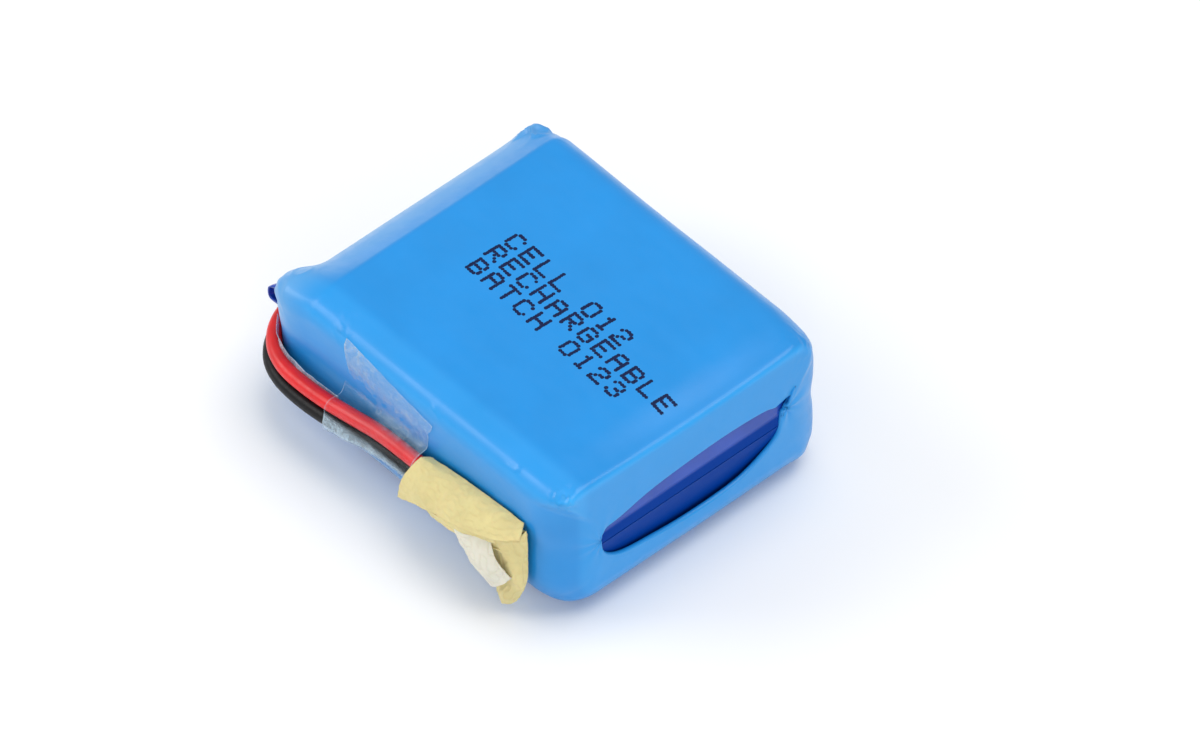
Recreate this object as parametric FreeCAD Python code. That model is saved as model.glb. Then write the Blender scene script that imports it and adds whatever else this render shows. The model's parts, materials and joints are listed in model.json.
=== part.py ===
"""Lithium-polymer battery pack: two pouch cells side by side in parallel, a protection board across
their tab end, two insulated leads, and a blue heat-shrink sleeve over everything.

Frame: millimetres, +Z up, the pack lying on its large face. The origin is the centre of the sleeve's
flat bottom face. +X runs from the lead end to the open end, and the leads run along the -Y side.
"""
import FreeCAD
import Part
from FreeCAD import Vector
import math
import os

# ---------------------------------------------------------------- driving dimensions
# Pouch cell
cell_length = 39.0          # overall, with the sealed terrace that the tabs pass through
cell_width = 33.6           # over the folded side seams
cell_thickness = 8.7
terrace_length = 3.6
laminate = 0.15             # aluminium laminate film
seam_height = 4.2           # side seam, folded up against the cup
end_lean = 1.6              # how far each end wall of the cup leans in over its height
side_lean = 1.3             # how far each side wall leans in
cup_corner_radius = 4.4     # upright corners of the cup
cup_rim_radius = 2.6        # edge between the cup's walls and its closed face

# Wound electrodes, by layer thickness
cathode_layer = 0.12
anode_layer = 0.11
separator_layer = 0.02
layer_gap = 0.005
winding_core = 0.25         # half the thickness of the winding's empty middle
roll_clearance = 0.25       # between the roll's flat faces and the cup
roll_end_room = 1.3         # beyond the lean and the film, at both ends of the roll
roll_side_room = 0.7        # beyond the lean and the film, at both sides of the roll
roll_tape = 0.05
roll_tape_length = 10.0     # of the tape band, along the roll's axis
cathode_margin = 0.8        # how far the separators stand out beyond the cathode, at each end
anode_margin = 0.5          # and beyond the anode

# Tabs
tab_width = 4.0
tab_thickness = 0.10
tab_spacing = 16.0          # centre to centre
tab_seal_width = 6.0
tab_seal_thickness = 0.20   # over both sides of the tab
tab_seal_overhang = 0.6     # beyond the terrace's free edge
tab_root = 0.6              # straight stretch between the roll's end and a tab's drop
tab_fold_gap = 0.6          # between a folded tab's end and the board's edge
terrace_corner_radius = 1.5

# Wraps and tapes
wrap_film = 0.10            # dark blue film round each cell
bond_tape = 0.10            # double-sided tape between the cells
bond_tape_margin = 4.0
film_slack = 0.01           # between a cell's film wrap and its pouch
sleeve_film = 0.15
sleeve_side_gap = 0.25      # between the sleeve's side walls and the wrapped cells
sleeve_end_gap = 0.05
sleeve_corner_radius = 4.8  # upright corners at the open end
sleeve_tab_radius = 6.5     # upright corners at the lead end, where the terraces leave the film slack
sleeve_edge_radius = 4.0    # edges round the two large faces
open_hole_width = 23.5      # hole in the open end
open_hole_rise = 3.1        # of its upper edge above the pack's middle plane
open_hole_drop = 4.7        # of its lower edge below that plane
open_hole_tip_rise = 0.4    # of its two tips above that plane
lip_radius = 0.6            # rounding of the tips
lead_hole_width = 23.6      # hole in the lead end
lead_hole_height = 6.4
lead_hole_shift = -2.8      # of its middle, towards the leads
lead_hole_radius = 1.0

# Protection board, upright across the tab end
board_length = 28.0
board_height = 7.6
board_thickness = 0.8
board_stand_off = 1.1       # between the terraces' ends and the board
paper_thickness = 0.15
paper_gap = 0.1             # between the terraces' ends and the paper
paper_margin = 0.5
link_thickness = 0.12       # nickel links
link_width = 4.4
solder_radius = 0.75
solder_cover = 0.15         # over the conductor's far side
solder_overrun = 0.1        # beyond each end of the stripped stretch

# Parts on the board's inner face. Places are Y and height from the board's middle line.
mosfet_place = (0.6, 0.0)
mosfet_size = (3.0, 3.0, 0.62)              # along Y, along Z, off the board
mosfet_legs = (4, 0.3)                      # on each side, and how wide each is
protection_chip_place = (-3.4, 0.0)
protection_chip_size = (2.2, 1.6, 0.62)
protection_chip_legs = (3, 0.35)
leg_length = 0.55
leg_thickness = 0.12
chip_chamfer = 0.12
resistor_places = [(-12.6, 1.6), (-12.6, -1.6)]
capacitor_places = [(12.6, 0.0)]
small_chip_size = (1.0, 0.8, 0.45)
end_cap_length = 0.3
end_cap_proud = 0.02        # how far an end cap stands out round its chip

# Leads
lead_diameter = 1.6
core_diameter = 0.8
core_clearance = 0.02
bare_end = 2.6              # stripped conductor at the outer end
soldered_end = 2.0          # stripped conductor on the board
lead_arc_share = 0.45       # share of the shorter run that a bend takes up
lead_root_gap = 0.13        # left over between the board, a lead's root and the tape over it
tube_tolerance = 0.01       # largest allowed error of a lead's volume

# Board insulation tape over the lead roots
board_tape = 0.12
board_tape_gap = 0.05
board_tape_end = -5.8       # Y of its edge on the side of the leads
board_tape_length = 16.4
board_tape_crown_high = 2.15    # top of its flat crown, above the board's middle line
board_tape_crown_low = 1.25     # bottom of its crown, below that line
bend_spread = 0.4           # how far a tape's outer corner moves along its crown, per thickness

# Clear tape that holds the leads to the side
clear_tape = 0.08
clear_tape_width = 11.5
clear_tape_start = -9.5     # X of its edge nearer the lead end
clear_tape_top = 15.6
clear_tape_bottom = 2.6
clear_tape_gap = 0.12       # between the tape and the leads
clear_tape_reach = 4.0      # beyond its ends, over which the leads' bulge is taken
clear_tape_slope = 0.6      # how far it falls, per millimetre that it stands off the wall

# Paper tape folded round the lead ends
paper_tape_gap = 0.04       # between the tape and what it wraps
paper_tape_floor_gap = 0.3
paper_tape_side = [         # its outline seen from the side, as X and Z
    (2.2, 11.6), (2.2, 6.3), (8.6, 5.9), (12.2, 4.2), (13.9, 1.6),
    (15.2, paper_tape_floor_gap), (16.4, 1.0), (17.0, 6.0), (17.0, 11.6),
]
paper_tape_section = [      # its outline seen from the end, as distance from the wall and Z
    (0.0, 11.6), (1.1, 11.6), (3.4, 7.0), (3.2, 5.0), (1.6, paper_tape_floor_gap),
    (0.0, paper_tape_floor_gap),
]

# ---------------------------------------------------------------- lead routes
# Control points of each lead's centreline, from its solder joint to its cut end.
red_route = [
    (-20.45, -3.20, 10.40), (-20.48, -5.80, 10.30), (-20.75, -8.70, 10.00), (-21.60, -11.60, 9.50),
    (-21.33, -14.66, 8.90), (-19.66, -17.14, 8.45), (-16.85, -18.50, 8.30), (-13.50, -18.75, 8.40),
    (-9.90, -18.70, 8.70), (-6.50, -18.45, 9.10), (-3.00, -18.22, 9.60), (0.60, -18.22, 9.70),
    (4.30, -18.22, 9.70), (7.90, -18.22, 9.60),
]
black_route = [
    (-20.45, -1.60, 8.70), (-20.48, -4.40, 8.60), (-20.54, -7.29, 8.40), (-21.04, -10.09, 8.06),
    (-21.72, -12.72, 7.50), (-21.32, -15.32, 7.00), (-19.72, -17.47, 6.65), (-17.27, -18.67, 6.50),
    (-14.17, -19.02, 6.55), (-10.76, -19.01, 6.76), (-7.31, -18.78, 7.12), (-3.90, -18.37, 7.56),
    (-0.50, -18.22, 7.90), (3.10, -18.22, 8.00), (6.70, -18.22, 7.95),
]

# ---------------------------------------------------------------- derived sizes and places
wrapped_thickness = cell_thickness + 2 * wrap_film
pack_height = 2 * (sleeve_film + wrapped_thickness) + bond_tape
pack_width = cell_width + 2 * (wrap_film + sleeve_side_gap + sleeve_film)
cell_end = sleeve_end_gap + wrap_film + sleeve_film
board_room = board_stand_off + board_thickness + lead_diameter + lead_root_gap + board_tape
pack_length = cell_end + cell_length + board_room + sleeve_film
half_length = pack_length / 2
half_width = pack_width / 2
middle_z = pack_height / 2
half_cell_width = cell_width / 2
cell_far_x = half_length - cell_end               # the cells' folded end
cell_tab_x = cell_far_x - cell_length             # the terraces' free edge
cup_near_x = cell_tab_x + terrace_length          # where the cup rises from the terrace
cup_half_width = half_cell_width - 2 * laminate   # the two seam layers lie outside the cup
cup_height = cell_thickness - laminate
tab_offset = tab_spacing / 2
board_inner_x = cell_tab_x - board_stand_off
board_outer_x = board_inner_x - board_thickness
board_bottom_z = middle_z - board_height / 2
board_top_z = middle_z + board_height / 2
lead_radius = lead_diameter / 2
roll_pitch = cathode_layer + anode_layer + 2 * separator_layer + 4 * layer_gap


def export(node, shape):
    """Write one node's solids to its STEP file."""
    solids = shape.Solids
    if not solids or not shape.isValid():
        raise RuntimeError(node + " is not made of valid solids")
    compound = solids[0] if len(solids) == 1 else Part.makeCompound(solids)
    compound.exportStep("parts/" + node + ".step")


def block(x_range, y_range, z_range):
    """A box from its low and high limits on each axis."""
    low = Vector(x_range[0], y_range[0], z_range[0])
    size = [high - lowest for lowest, high in (x_range, y_range, z_range)]
    return Part.makeBox(*size, low)


def polygon_prism(points, direction):
    """A closed polygon, given by its corner vectors, swept along a vector."""
    outline = Part.makePolygon(points + [points[0]])
    return Part.Face(outline).extrude(direction)


def upright_edges(solid):
    """The edges that climb, straight or leaning, from one level to another."""
    return [edge for edge in solid.Edges
            if abs(edge.Vertexes[0].Z - edge.Vertexes[-1].Z) > 0.5 * solid.BoundBox.ZLength]


def edges_at_height(solid, height):
    """The edges that lie wholly at one level."""
    return [edge for edge in solid.Edges
            if all(abs(vertex.Z - height) < 1e-4 for vertex in edge.Vertexes)
            and edge.BoundBox.ZLength < 1e-4]


def leaning_block(margin, floor_z, top_z):
    """The outer form of a pouch cup, grown by a margin, from floor_z up to top_z."""
    def rectangle(height):
        share = height / cell_thickness
        low_x = cup_near_x - margin + end_lean * share
        high_x = cell_far_x + margin - end_lean * share
        reach_y = cup_half_width + margin - side_lean * share
        corners = [Vector(low_x, -reach_y, height), Vector(high_x, -reach_y, height),
                   Vector(high_x, reach_y, height), Vector(low_x, reach_y, height)]
        return Part.makePolygon(corners + [corners[0]])

    solid = Part.makeLoft([rectangle(floor_z), rectangle(top_z)], True, True)
    solid = solid.makeFillet(cup_corner_radius + margin, upright_edges(solid))
    return solid.makeFillet(cup_rim_radius + margin, edges_at_height(solid, top_z))


def terrace_sheet(start_x, end_x, low_z, high_z):
    """A flat layer of laminate with the terrace's small corners and, at the folded end, large ones."""
    sheet = block((start_x, end_x), (-cup_half_width, cup_half_width), (low_z, high_z))
    near = [edge for edge in upright_edges(sheet) if edge.BoundBox.XMax < start_x + 0.01]
    sheet = sheet.makeFillet(terrace_corner_radius, near)
    if end_x < cell_far_x:
        return sheet
    far = [edge for edge in upright_edges(sheet) if edge.BoundBox.XMin > end_x - 0.01]
    return sheet.makeFillet(cup_corner_radius, far)


def seam_strip(side, inner_reach, layer, low_z, high_z):
    """One layer of a side seam: an upright strip outside the cup, on one side."""
    edges = sorted([side * inner_reach, side * (inner_reach + layer)])
    start = cup_near_x + cup_corner_radius
    end = cell_far_x - cup_corner_radius
    return block((start, end), edges, (low_z, high_z))


def pouch_cup():
    """The deep-drawn half of the laminate, with its terrace flange and inner seam layers."""
    outer = leaning_block(0, laminate, cell_thickness)
    inner = leaning_block(-laminate, laminate, cell_thickness - laminate)
    flange = terrace_sheet(cell_tab_x, cup_near_x + cup_corner_radius + laminate, laminate,
                           2 * laminate)
    shell = outer.fuse(flange).cut(inner)
    seams = [seam_strip(side, cup_half_width, laminate, laminate, seam_height) for side in (-1, 1)]
    shell = shell.fuse(seams)
    return shell.cut(tab_seal_room()).removeSplitter()


def pouch_cover():
    """The flat half of the laminate, with its outer seam layers folded up."""
    sheet = terrace_sheet(cell_tab_x, cell_far_x, 0, laminate)
    seams = []
    for side in (-1, 1):
        seams.append(seam_strip(side, cup_half_width + laminate, laminate, 0, seam_height))
        seams.append(seam_strip(side, cup_half_width, laminate, 0, laminate))
    return sheet.fuse(seams).cut(tab_seal_room()).removeSplitter()


def tab_seal_room():
    """The room that the two tab seals take up between the laminates."""
    return Part.makeCompound([tab_seal_block(side) for side in (-1, 1)])


def tab_seal_block(side):
    """The block that one tab's sealing film fills, tab included."""
    centre_y = side * tab_offset
    return block((cell_tab_x - tab_seal_overhang, tab_drop_x() + 2 * tab_thickness),
                 (centre_y - tab_seal_width / 2, centre_y + tab_seal_width / 2),
                 (laminate - tab_seal_thickness / 2, laminate + tab_seal_thickness / 2))


def tab_drop_x():
    """Where a tab, coming out of the roll, turns down to the seal plane."""
    return roll_start_x() - tab_root


def tab(side):
    """One tab: out of the roll's end, down to the seal plane, along it and up the board's link."""
    roll_x = roll_start_x()
    drop_x = tab_drop_x()
    low_z = laminate - tab_thickness / 2
    high_z = laminate + tab_thickness / 2
    roll_z = (laminate + cell_thickness) / 2
    outer_x = link_inner_x() + tab_thickness
    corners = [
        (roll_x, roll_z), (drop_x - tab_thickness, roll_z), (drop_x - tab_thickness, high_z),
        (outer_x, high_z), (outer_x, tab_fold_height()), (outer_x - tab_thickness, tab_fold_height()),
        (outer_x - tab_thickness, low_z), (drop_x, low_z), (drop_x, roll_z - tab_thickness),
        (roll_x, roll_z - tab_thickness),
    ]
    low_y = side * tab_offset - tab_width / 2
    outline = [Vector(x, low_y, z) for x, z in corners]
    return polygon_prism(outline, Vector(0, tab_width, 0))


def tab_fold_height():
    """How far up its link a folded tab reaches, above its own cell's cover."""
    return board_height / 2 - bond_tape / 2 - wrap_film - tab_fold_gap


def link_inner_x():
    """The inner face of the nickel links, which lie on the board's inner face."""
    return board_inner_x + link_thickness


def tab_seal(side):
    """Sealing film round one tab, where the laminates close on it."""
    return tab_seal_block(side).cut(tab(side))


def roll_start_x():
    """The roll's end that faces the tabs."""
    return cup_near_x + laminate + roll_end_room + end_lean


def roll_end_x():
    """The roll's end at the folded end of the cell."""
    return cell_far_x - laminate - roll_end_room - end_lean


def roll_half_thickness():
    """Half the height that the cup leaves for the wound roll and its tape."""
    return (cell_thickness - 2 * laminate) / 2 - roll_clearance / 2 - roll_tape


def roll_turns():
    """Whole turns of the winding that fit in the cup."""
    return int((roll_half_thickness() - winding_core) / roll_pitch - 0.5)


def roll_straight_half():
    """Half the straight stretch between the winding's two rounded sides."""
    reach = cup_half_width - side_lean - laminate - roll_side_room - roll_tape
    return reach - roll_half_thickness()


def spiral_edges(start_radius):
    """The flat spiral through a winding, as lines and half circles in the YZ plane."""
    reach = roll_straight_half()
    plane_x = roll_start_x()
    centre_z = (laminate + cell_thickness) / 2
    edges = []
    for turn in range(roll_turns()):
        top = start_radius + turn * roll_pitch
        bottom = top + roll_pitch / 2
        next_top = top + roll_pitch

        def point(y, z):
            return Vector(plane_x, y, centre_z + z)

        edges.append(Part.LineSegment(point(-reach, top), point(reach, top)).toShape())
        edges.append(Part.Arc(point(reach, top), point(reach + (top + bottom) / 2, (top - bottom) / 2),
                              point(reach, -bottom)).toShape())
        edges.append(Part.LineSegment(point(reach, -bottom), point(-reach, -bottom)).toShape())
        edges.append(Part.Arc(point(-reach, -bottom),
                              point(-reach - (next_top + bottom) / 2, (next_top - bottom) / 2),
                              point(-reach, next_top)).toShape())
    return edges


def wound_strip(inner_offset, thickness, shorter_by=0.0):
    """One strip of the winding, given how far it lies outside the winding's base spiral."""
    inner = spiral_edges(winding_core + inner_offset)
    outer = spiral_edges(winding_core + inner_offset + thickness)
    caps = [Part.LineSegment(inner[0].Vertexes[0].Point, outer[0].Vertexes[0].Point).toShape(),
            Part.LineSegment(inner[-1].Vertexes[-1].Point, outer[-1].Vertexes[-1].Point).toShape()]
    outline = Part.Wire(Part.__sortEdges__(inner + outer + caps))
    length = roll_end_x() - roll_start_x() - 2 * shorter_by
    strip = Part.Face(outline).extrude(Vector(length, 0, 0))
    strip.translate(Vector(shorter_by, 0, 0))
    return strip


def cell_interior():
    """The cell's wound strips and the tape round them."""
    anode_start = cathode_layer + separator_layer + 2 * layer_gap
    second_separator = anode_start + anode_layer + layer_gap
    separators = Part.makeCompound([
        wound_strip(cathode_layer + layer_gap, separator_layer),
        wound_strip(second_separator, separator_layer),
    ])
    return {
        "cathode": wound_strip(0, cathode_layer, shorter_by=cathode_margin),
        "anode": wound_strip(anode_start, anode_layer, shorter_by=anode_margin),
        "separators": separators,
        "roll_tape": roll_band(),
    }


def roll_band():
    """The tape band that keeps the roll closed."""
    reach = roll_straight_half()
    centre_z = (laminate + cell_thickness) / 2
    inner_radius = winding_core + (roll_turns() + 1) * roll_pitch
    low_x = (roll_start_x() + roll_end_x() - roll_tape_length) / 2

    def racetrack(radius):
        flat = block((low_x, low_x + roll_tape_length), (-reach, reach),
                     (centre_z - radius, centre_z + radius))
        ends = [Part.makeCylinder(radius, roll_tape_length, Vector(low_x, side * reach, centre_z),
                                  Vector(1, 0, 0)) for side in (-1, 1)]
        return flat.fuse(ends).removeSplitter()

    return racetrack(inner_radius + roll_tape).cut(racetrack(inner_radius))


def cell_wrap():
    """Dark blue film jacket round one cell, open towards the tabs."""
    near_x = cup_near_x + cup_corner_radius + laminate + film_slack
    seam_start = cup_near_x + cup_corner_radius
    seam_end = cell_far_x - cup_corner_radius

    def form(margin):
        seam_reach = half_cell_width + margin
        seams = block((seam_start, seam_end + margin), (-seam_reach, seam_reach),
                      (-margin, seam_height + margin))
        return leaning_block(margin, -margin, cell_thickness + margin).fuse(seams)

    mouth = block((cell_tab_x - 1, near_x), (-half_width, half_width), (-1, cell_thickness + 1))
    return form(wrap_film).cut(form(film_slack)).cut(mouth)


def place_cell(shape, upper):
    """Move a cell's piece from the cell's own frame to its place: cover against the pack's middle."""
    moved = shape.copy()
    if upper:
        moved.translate(Vector(0, 0, middle_z + bond_tape / 2 + wrap_film))
        return moved
    moved.rotate(Vector(0, 0, 0), Vector(1, 0, 0), 180)
    moved.translate(Vector(0, 0, middle_z - bond_tape / 2 - wrap_film))
    return moved


def cell_pieces():
    """Every piece of one cell, in the cell's own frame, by name. Its cover lies at Z = 0."""
    pieces = {
        "pouch_cup": pouch_cup(),
        "pouch_cover": pouch_cover(),
        "tab_seals": Part.makeCompound([tab_seal(-1), tab_seal(1)]),
        "film_wrap": cell_wrap(),
    }
    pieces.update(cell_interior())
    return pieces


def cells():
    """Both cells' pieces in place, by node name. The tabs keep their polarity side on both."""
    placed = {}
    own_frame = cell_pieces()
    for name, upper in (("upper_cell", True), ("lower_cell", False)):
        for piece, shape in own_frame.items():
            placed[name + "_" + piece] = place_cell(shape, upper)
        positive_side = 1 if upper else -1
        placed[name + "_positive_tab"] = place_cell(tab(positive_side), upper)
        placed[name + "_negative_tab"] = place_cell(tab(-positive_side), upper)
    return placed


def bond_sheet():
    """Double-sided tape between the two cells."""
    reach = cup_half_width - bond_tape_margin
    return block((cup_near_x + bond_tape_margin, cell_far_x - bond_tape_margin), (-reach, reach),
                 (middle_z - bond_tape / 2, middle_z + bond_tape / 2))


def sleeve_block(inset):
    """The sleeve's rounded form, inset by a wall thickness."""
    reach_x = half_length - inset
    reach_y = half_width - inset
    solid = block((-reach_x, reach_x), (-reach_y, reach_y), (inset, pack_height - inset))
    for radius, at_tab_end in ((sleeve_corner_radius, False), (sleeve_tab_radius, True)):
        corners = [edge for edge in upright_edges(solid)
                   if abs(edge.BoundBox.XMin) > reach_x - 0.01 and (edge.BoundBox.XMin < 0) == at_tab_end]
        solid = solid.makeFillet(radius - inset, corners)
    rims = edges_at_height(solid, inset) + edges_at_height(solid, pack_height - inset)
    return solid.makeFillet(sleeve_edge_radius - inset, rims)


def lens_opening(near_x, far_x, left_y, right_y, low_z, high_z):
    """A lens-shaped hole through one end of the sleeve, where the shrunken film doesn't meet."""
    tip_z = middle_z + open_hole_tip_rise
    left, right = Vector(near_x, left_y, tip_z), Vector(near_x, right_y, tip_z)
    middle_y = (left_y + right_y) / 2
    upper = Part.Arc(left, Vector(near_x, middle_y, high_z), right).toShape()
    lower = Part.Arc(right, Vector(near_x, middle_y, low_z), left).toShape()
    cutter = Part.Face(Part.Wire([upper, lower])).extrude(Vector(far_x - near_x, 0, 0))
    return cutter.makeFillet(lip_radius, [edge for edge in cutter.Edges
                                          if edge.BoundBox.XLength > 0.9 * abs(far_x - near_x)])


def shrink_sleeve():
    """The outer blue heat-shrink sleeve, with its two end openings."""
    shell = sleeve_block(0).cut(sleeve_block(sleeve_film))
    open_end = lens_opening(half_length - sleeve_edge_radius, half_length + 1,
                            -open_hole_width / 2, open_hole_width / 2,
                            middle_z - open_hole_drop, middle_z + open_hole_rise)
    lead_end = block((-half_length - 1, -half_length + sleeve_edge_radius),
                     (lead_hole_shift - lead_hole_width / 2, lead_hole_shift + lead_hole_width / 2),
                     (middle_z - lead_hole_height / 2, middle_z + lead_hole_height / 2))
    lead_end = lead_end.makeFillet(lead_hole_radius, [edge for edge in lead_end.Edges
                                                      if edge.BoundBox.XLength > 1])
    return shell.cut(open_end).cut(lead_end)


def insulating_paper():
    """Paper that keeps the terraces' edges off the board, folded into a shallow channel."""
    inner_x = cell_tab_x - paper_gap
    reach_y = tab_offset - tab_seal_width / 2 - paper_margin
    return block((inner_x - paper_thickness, inner_x), (-reach_y, reach_y),
                 (board_bottom_z + paper_margin, board_top_z - paper_margin))


def board():
    """The bare protection board."""
    return block((board_outer_x, board_inner_x), (-board_length / 2, board_length / 2),
                 (board_bottom_z, board_top_z))


def nickel_link(side):
    """A nickel link on the board's inner face, which both cells' tabs are welded to."""
    centre_y = side * tab_offset
    return block((board_inner_x, link_inner_x()),
                 (centre_y - link_width / 2, centre_y + link_width / 2),
                 (board_bottom_z + paper_margin, board_top_z - paper_margin))


def chip(place, size, legs_per_side, leg_width):
    """A moulded chip on the board's inner face, with its legs, as separate solids."""
    start = board_inner_x
    foot = leg_thickness
    length, height, depth = size
    centre_y, centre_z = place[0], middle_z + place[1]
    body = block((start + foot, start + foot + depth), (centre_y - length / 2, centre_y + length / 2),
                 (centre_z - height / 2, centre_z + height / 2))
    face = start + foot + depth
    body = body.makeChamfer(chip_chamfer, [edge for edge in body.Edges
                                           if abs(edge.BoundBox.XMin - face) < 1e-6])
    legs = []
    spacing = length / legs_per_side
    for index in range(legs_per_side):
        leg_y = centre_y - length / 2 + (index + 0.5) * spacing
        for side in (-1, 1):
            reach = sorted([centre_z + side * height / 2, centre_z + side * (height / 2 + leg_length)])
            legs.append(block((start, start + foot), (leg_y - leg_width / 2, leg_y + leg_width / 2),
                              reach))
    return Part.makeCompound([body] + legs)


def small_chips(places):
    """Chip resistors or capacitors, each a body with two metal end caps, as separate solids."""
    solids = []
    start = board_inner_x
    length, height, depth = small_chip_size
    cap_half_height = height / 2 + end_cap_proud
    for centre_y, rise in places:
        centre_z = middle_z + rise
        solids.append(block((start, start + depth), (centre_y - length / 2, centre_y + length / 2),
                            (centre_z - height / 2, centre_z + height / 2)))
        for side in (-1, 1):
            reach = sorted([centre_y + side * length / 2, centre_y + side * (length / 2 + end_cap_length)])
            solids.append(block((start, start + depth + end_cap_proud), reach,
                                (centre_z - cap_half_height, centre_z + cap_half_height)))
    return Part.makeCompound(solids)


def arc_path(points):
    """Straight runs joined by tangent arcs, each arc as large as its two runs allow."""
    corners = [Vector(*point) for point in points]
    edges = []
    last = corners[0]
    radii = []
    for before, corner, after in zip(corners, corners[1:], corners[2:]):
        back = (before - corner)
        ahead = (after - corner)
        shorter = min(back.Length, ahead.Length)
        turn = math.pi - back.getAngle(ahead)
        trim = lead_arc_share * shorter
        radii.append(trim / math.tan(turn / 2))
        start = corner + back.normalize() * trim
        end = corner + ahead.normalize() * trim
        towards_middle = (start + end) * 0.5 - corner
        centre_distance = math.hypot(trim, radii[-1])
        middle = corner + towards_middle.normalize() * (centre_distance - radii[-1])
        edges.append(Part.LineSegment(last, start).toShape())
        edges.append(Part.Arc(start, middle, end).toShape())
        last = end
    edges.append(Part.LineSegment(last, corners[-1]).toShape())
    return Part.Wire(edges), radii


def sweep_disc(path, centre, direction, radius):
    """A round bar of one radius along a path that starts at a centre, square to a direction."""
    disc = Part.Face(Part.Wire(Part.makeCircle(radius, centre, direction)))
    return path.makePipe(disc)


def lead(name, route):
    """One lead: its insulation, and its conductor with both bare ends, each a closed solid."""
    path, radii = arc_path(route)
    start, end = Vector(*route[0]), Vector(*route[-1])
    inward = (start - Vector(*route[1])).normalize()
    outward = (end - Vector(*route[-2])).normalize()
    bore_radius = core_diameter / 2 + core_clearance
    bore = sweep_disc(path, start, inward, bore_radius)
    insulation = sweep_disc(path, start, inward, lead_radius).cut(bore)
    core_path = Part.Wire([Part.LineSegment(start + inward * soldered_end, start).toShape()]
                          + path.Edges
                          + [Part.LineSegment(end, end + outward * bare_end).toShape()])
    core = sweep_disc(core_path, start + inward * soldered_end, inward, core_diameter / 2)
    section = math.pi * (lead_radius ** 2 - bore_radius ** 2)
    error = abs(insulation.Volume / (section * path.Length) - 1)
    print(name, "length %.2f" % path.Length, "smallest bend %.2f" % min(radii),
          "volume error %.5f" % error)
    if error > tube_tolerance:
        raise RuntimeError(name + " has the wrong volume")
    return {name: insulation, name + "_conductor": core}


def solder_joint(route):
    """A solder dome over one lead's stripped end on the board's outer face."""
    start = Vector(*route[0])
    inward = (start - Vector(*route[1])).normalize()
    centre = start + inward * (soldered_end / 2)
    centre.x = board_outer_x
    dome = Part.makeSphere(1.0, Vector(0, 0, 0))
    matrix = FreeCAD.Matrix()
    matrix.scale(board_outer_x - start.x + core_diameter / 2 + solder_cover,
                 soldered_end / 2 + solder_overrun, solder_radius)
    dome = dome.transformGeometry(matrix)
    dome.translate(centre)
    outside = block((board_outer_x - soldered_end, board_outer_x), (-half_width, half_width),
                    (0, pack_height))
    return dome.common(outside)


def lead_room(clearance, bare=True):
    """The room that both leads take, with a clearance round them."""
    rooms = []
    for route in (red_route, black_route):
        path, _ = arc_path(route)
        start, end = Vector(*route[0]), Vector(*route[-1])
        inward = (start - Vector(*route[1])).normalize()
        rooms.append(sweep_disc(path, start, inward, lead_radius + clearance))
        if bare:
            outward = (end - Vector(*route[-2])).normalize()
            rooms.append(Part.makeCylinder(core_diameter / 2 + clearance, bare_end + clearance,
                                           end, outward))
    return rooms


def board_tape_cover():
    """Dark blue tape over the board's outer face and the lead roots, bulging out of the sleeve."""
    crown_x = board_outer_x - lead_diameter - lead_root_gap
    low_z, high_z = board_bottom_z - board_tape_gap, board_top_z + board_tape_gap
    crown_low = middle_z - board_tape_crown_low
    crown_high = middle_z + board_tape_crown_high
    near_y, far_y = board_tape_end, board_tape_end + board_tape_length

    def shell(offset):
        profile = [Vector(board_inner_x, near_y, high_z + offset),
                   Vector(board_outer_x - offset, near_y, high_z + offset),
                   Vector(crown_x - offset, near_y, crown_high + bend_spread * offset),
                   Vector(crown_x - offset, near_y, crown_low - bend_spread * offset),
                   Vector(board_outer_x - offset, near_y, low_z - offset),
                   Vector(board_inner_x, near_y, low_z - offset)]
        return polygon_prism(profile, Vector(0, far_y - near_y, 0))

    return shell(board_tape).cut(shell(0))


def clear_tape_strip():
    """Clear tape from the sleeve's upper edge, over both leads, to the sleeve's lower side."""
    end = clear_tape_start + clear_tape_width
    covered = [point for route in (red_route, black_route) for point in route
               if clear_tape_start - clear_tape_reach < point[0] < end + clear_tape_reach]
    outermost = min(point[1] for point in covered) - lead_radius
    crown_y = min(outermost, -half_width - lead_diameter) - clear_tape_gap
    saddle_high = max(point[2] for point in covered) + lead_radius + clear_tape_gap
    saddle_low = min(point[2] for point in covered) - lead_radius - clear_tape_gap
    slope = clear_tape_slope * (crown_y + half_width)

    def form(offset):
        saddle = [Vector(clear_tape_start, 0, saddle_high - slope + offset),
                  Vector(clear_tape_start, -half_width, saddle_high - slope + offset),
                  Vector(clear_tape_start, crown_y - offset, saddle_high + bend_spread * offset),
                  Vector(clear_tape_start, crown_y - offset, saddle_low - bend_spread * offset),
                  Vector(clear_tape_start, -half_width, saddle_low + slope - offset),
                  Vector(clear_tape_start, 0, saddle_low + slope - offset)]
        return sleeve_block(-offset).fuse(polygon_prism(saddle, Vector(clear_tape_width, 0, 0)))

    strip = form(clear_tape).cut(form(0))
    window = block((clear_tape_start, end), (crown_y - 2 * clear_tape, -half_width + sleeve_edge_radius),
                   (clear_tape_bottom, clear_tape_top))
    return strip.common(window)


def lead_end_tape():
    """Crumpled paper tape folded round both lead ends, with a tail that hangs to the floor."""
    wall_y = -half_width - paper_tape_gap
    depth = max(distance for distance, _ in paper_tape_section)
    near_x = min(x for x, _ in paper_tape_side)
    far_x = max(x for x, _ in paper_tape_side)
    side = polygon_prism([Vector(x, wall_y - depth, z) for x, z in paper_tape_side], Vector(0, depth, 0))
    across = polygon_prism([Vector(near_x, wall_y - distance, z) for distance, z in paper_tape_section],
                           Vector(far_x - near_x, 0, 0))
    return side.common(across).cut(lead_room(paper_tape_gap))


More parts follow.
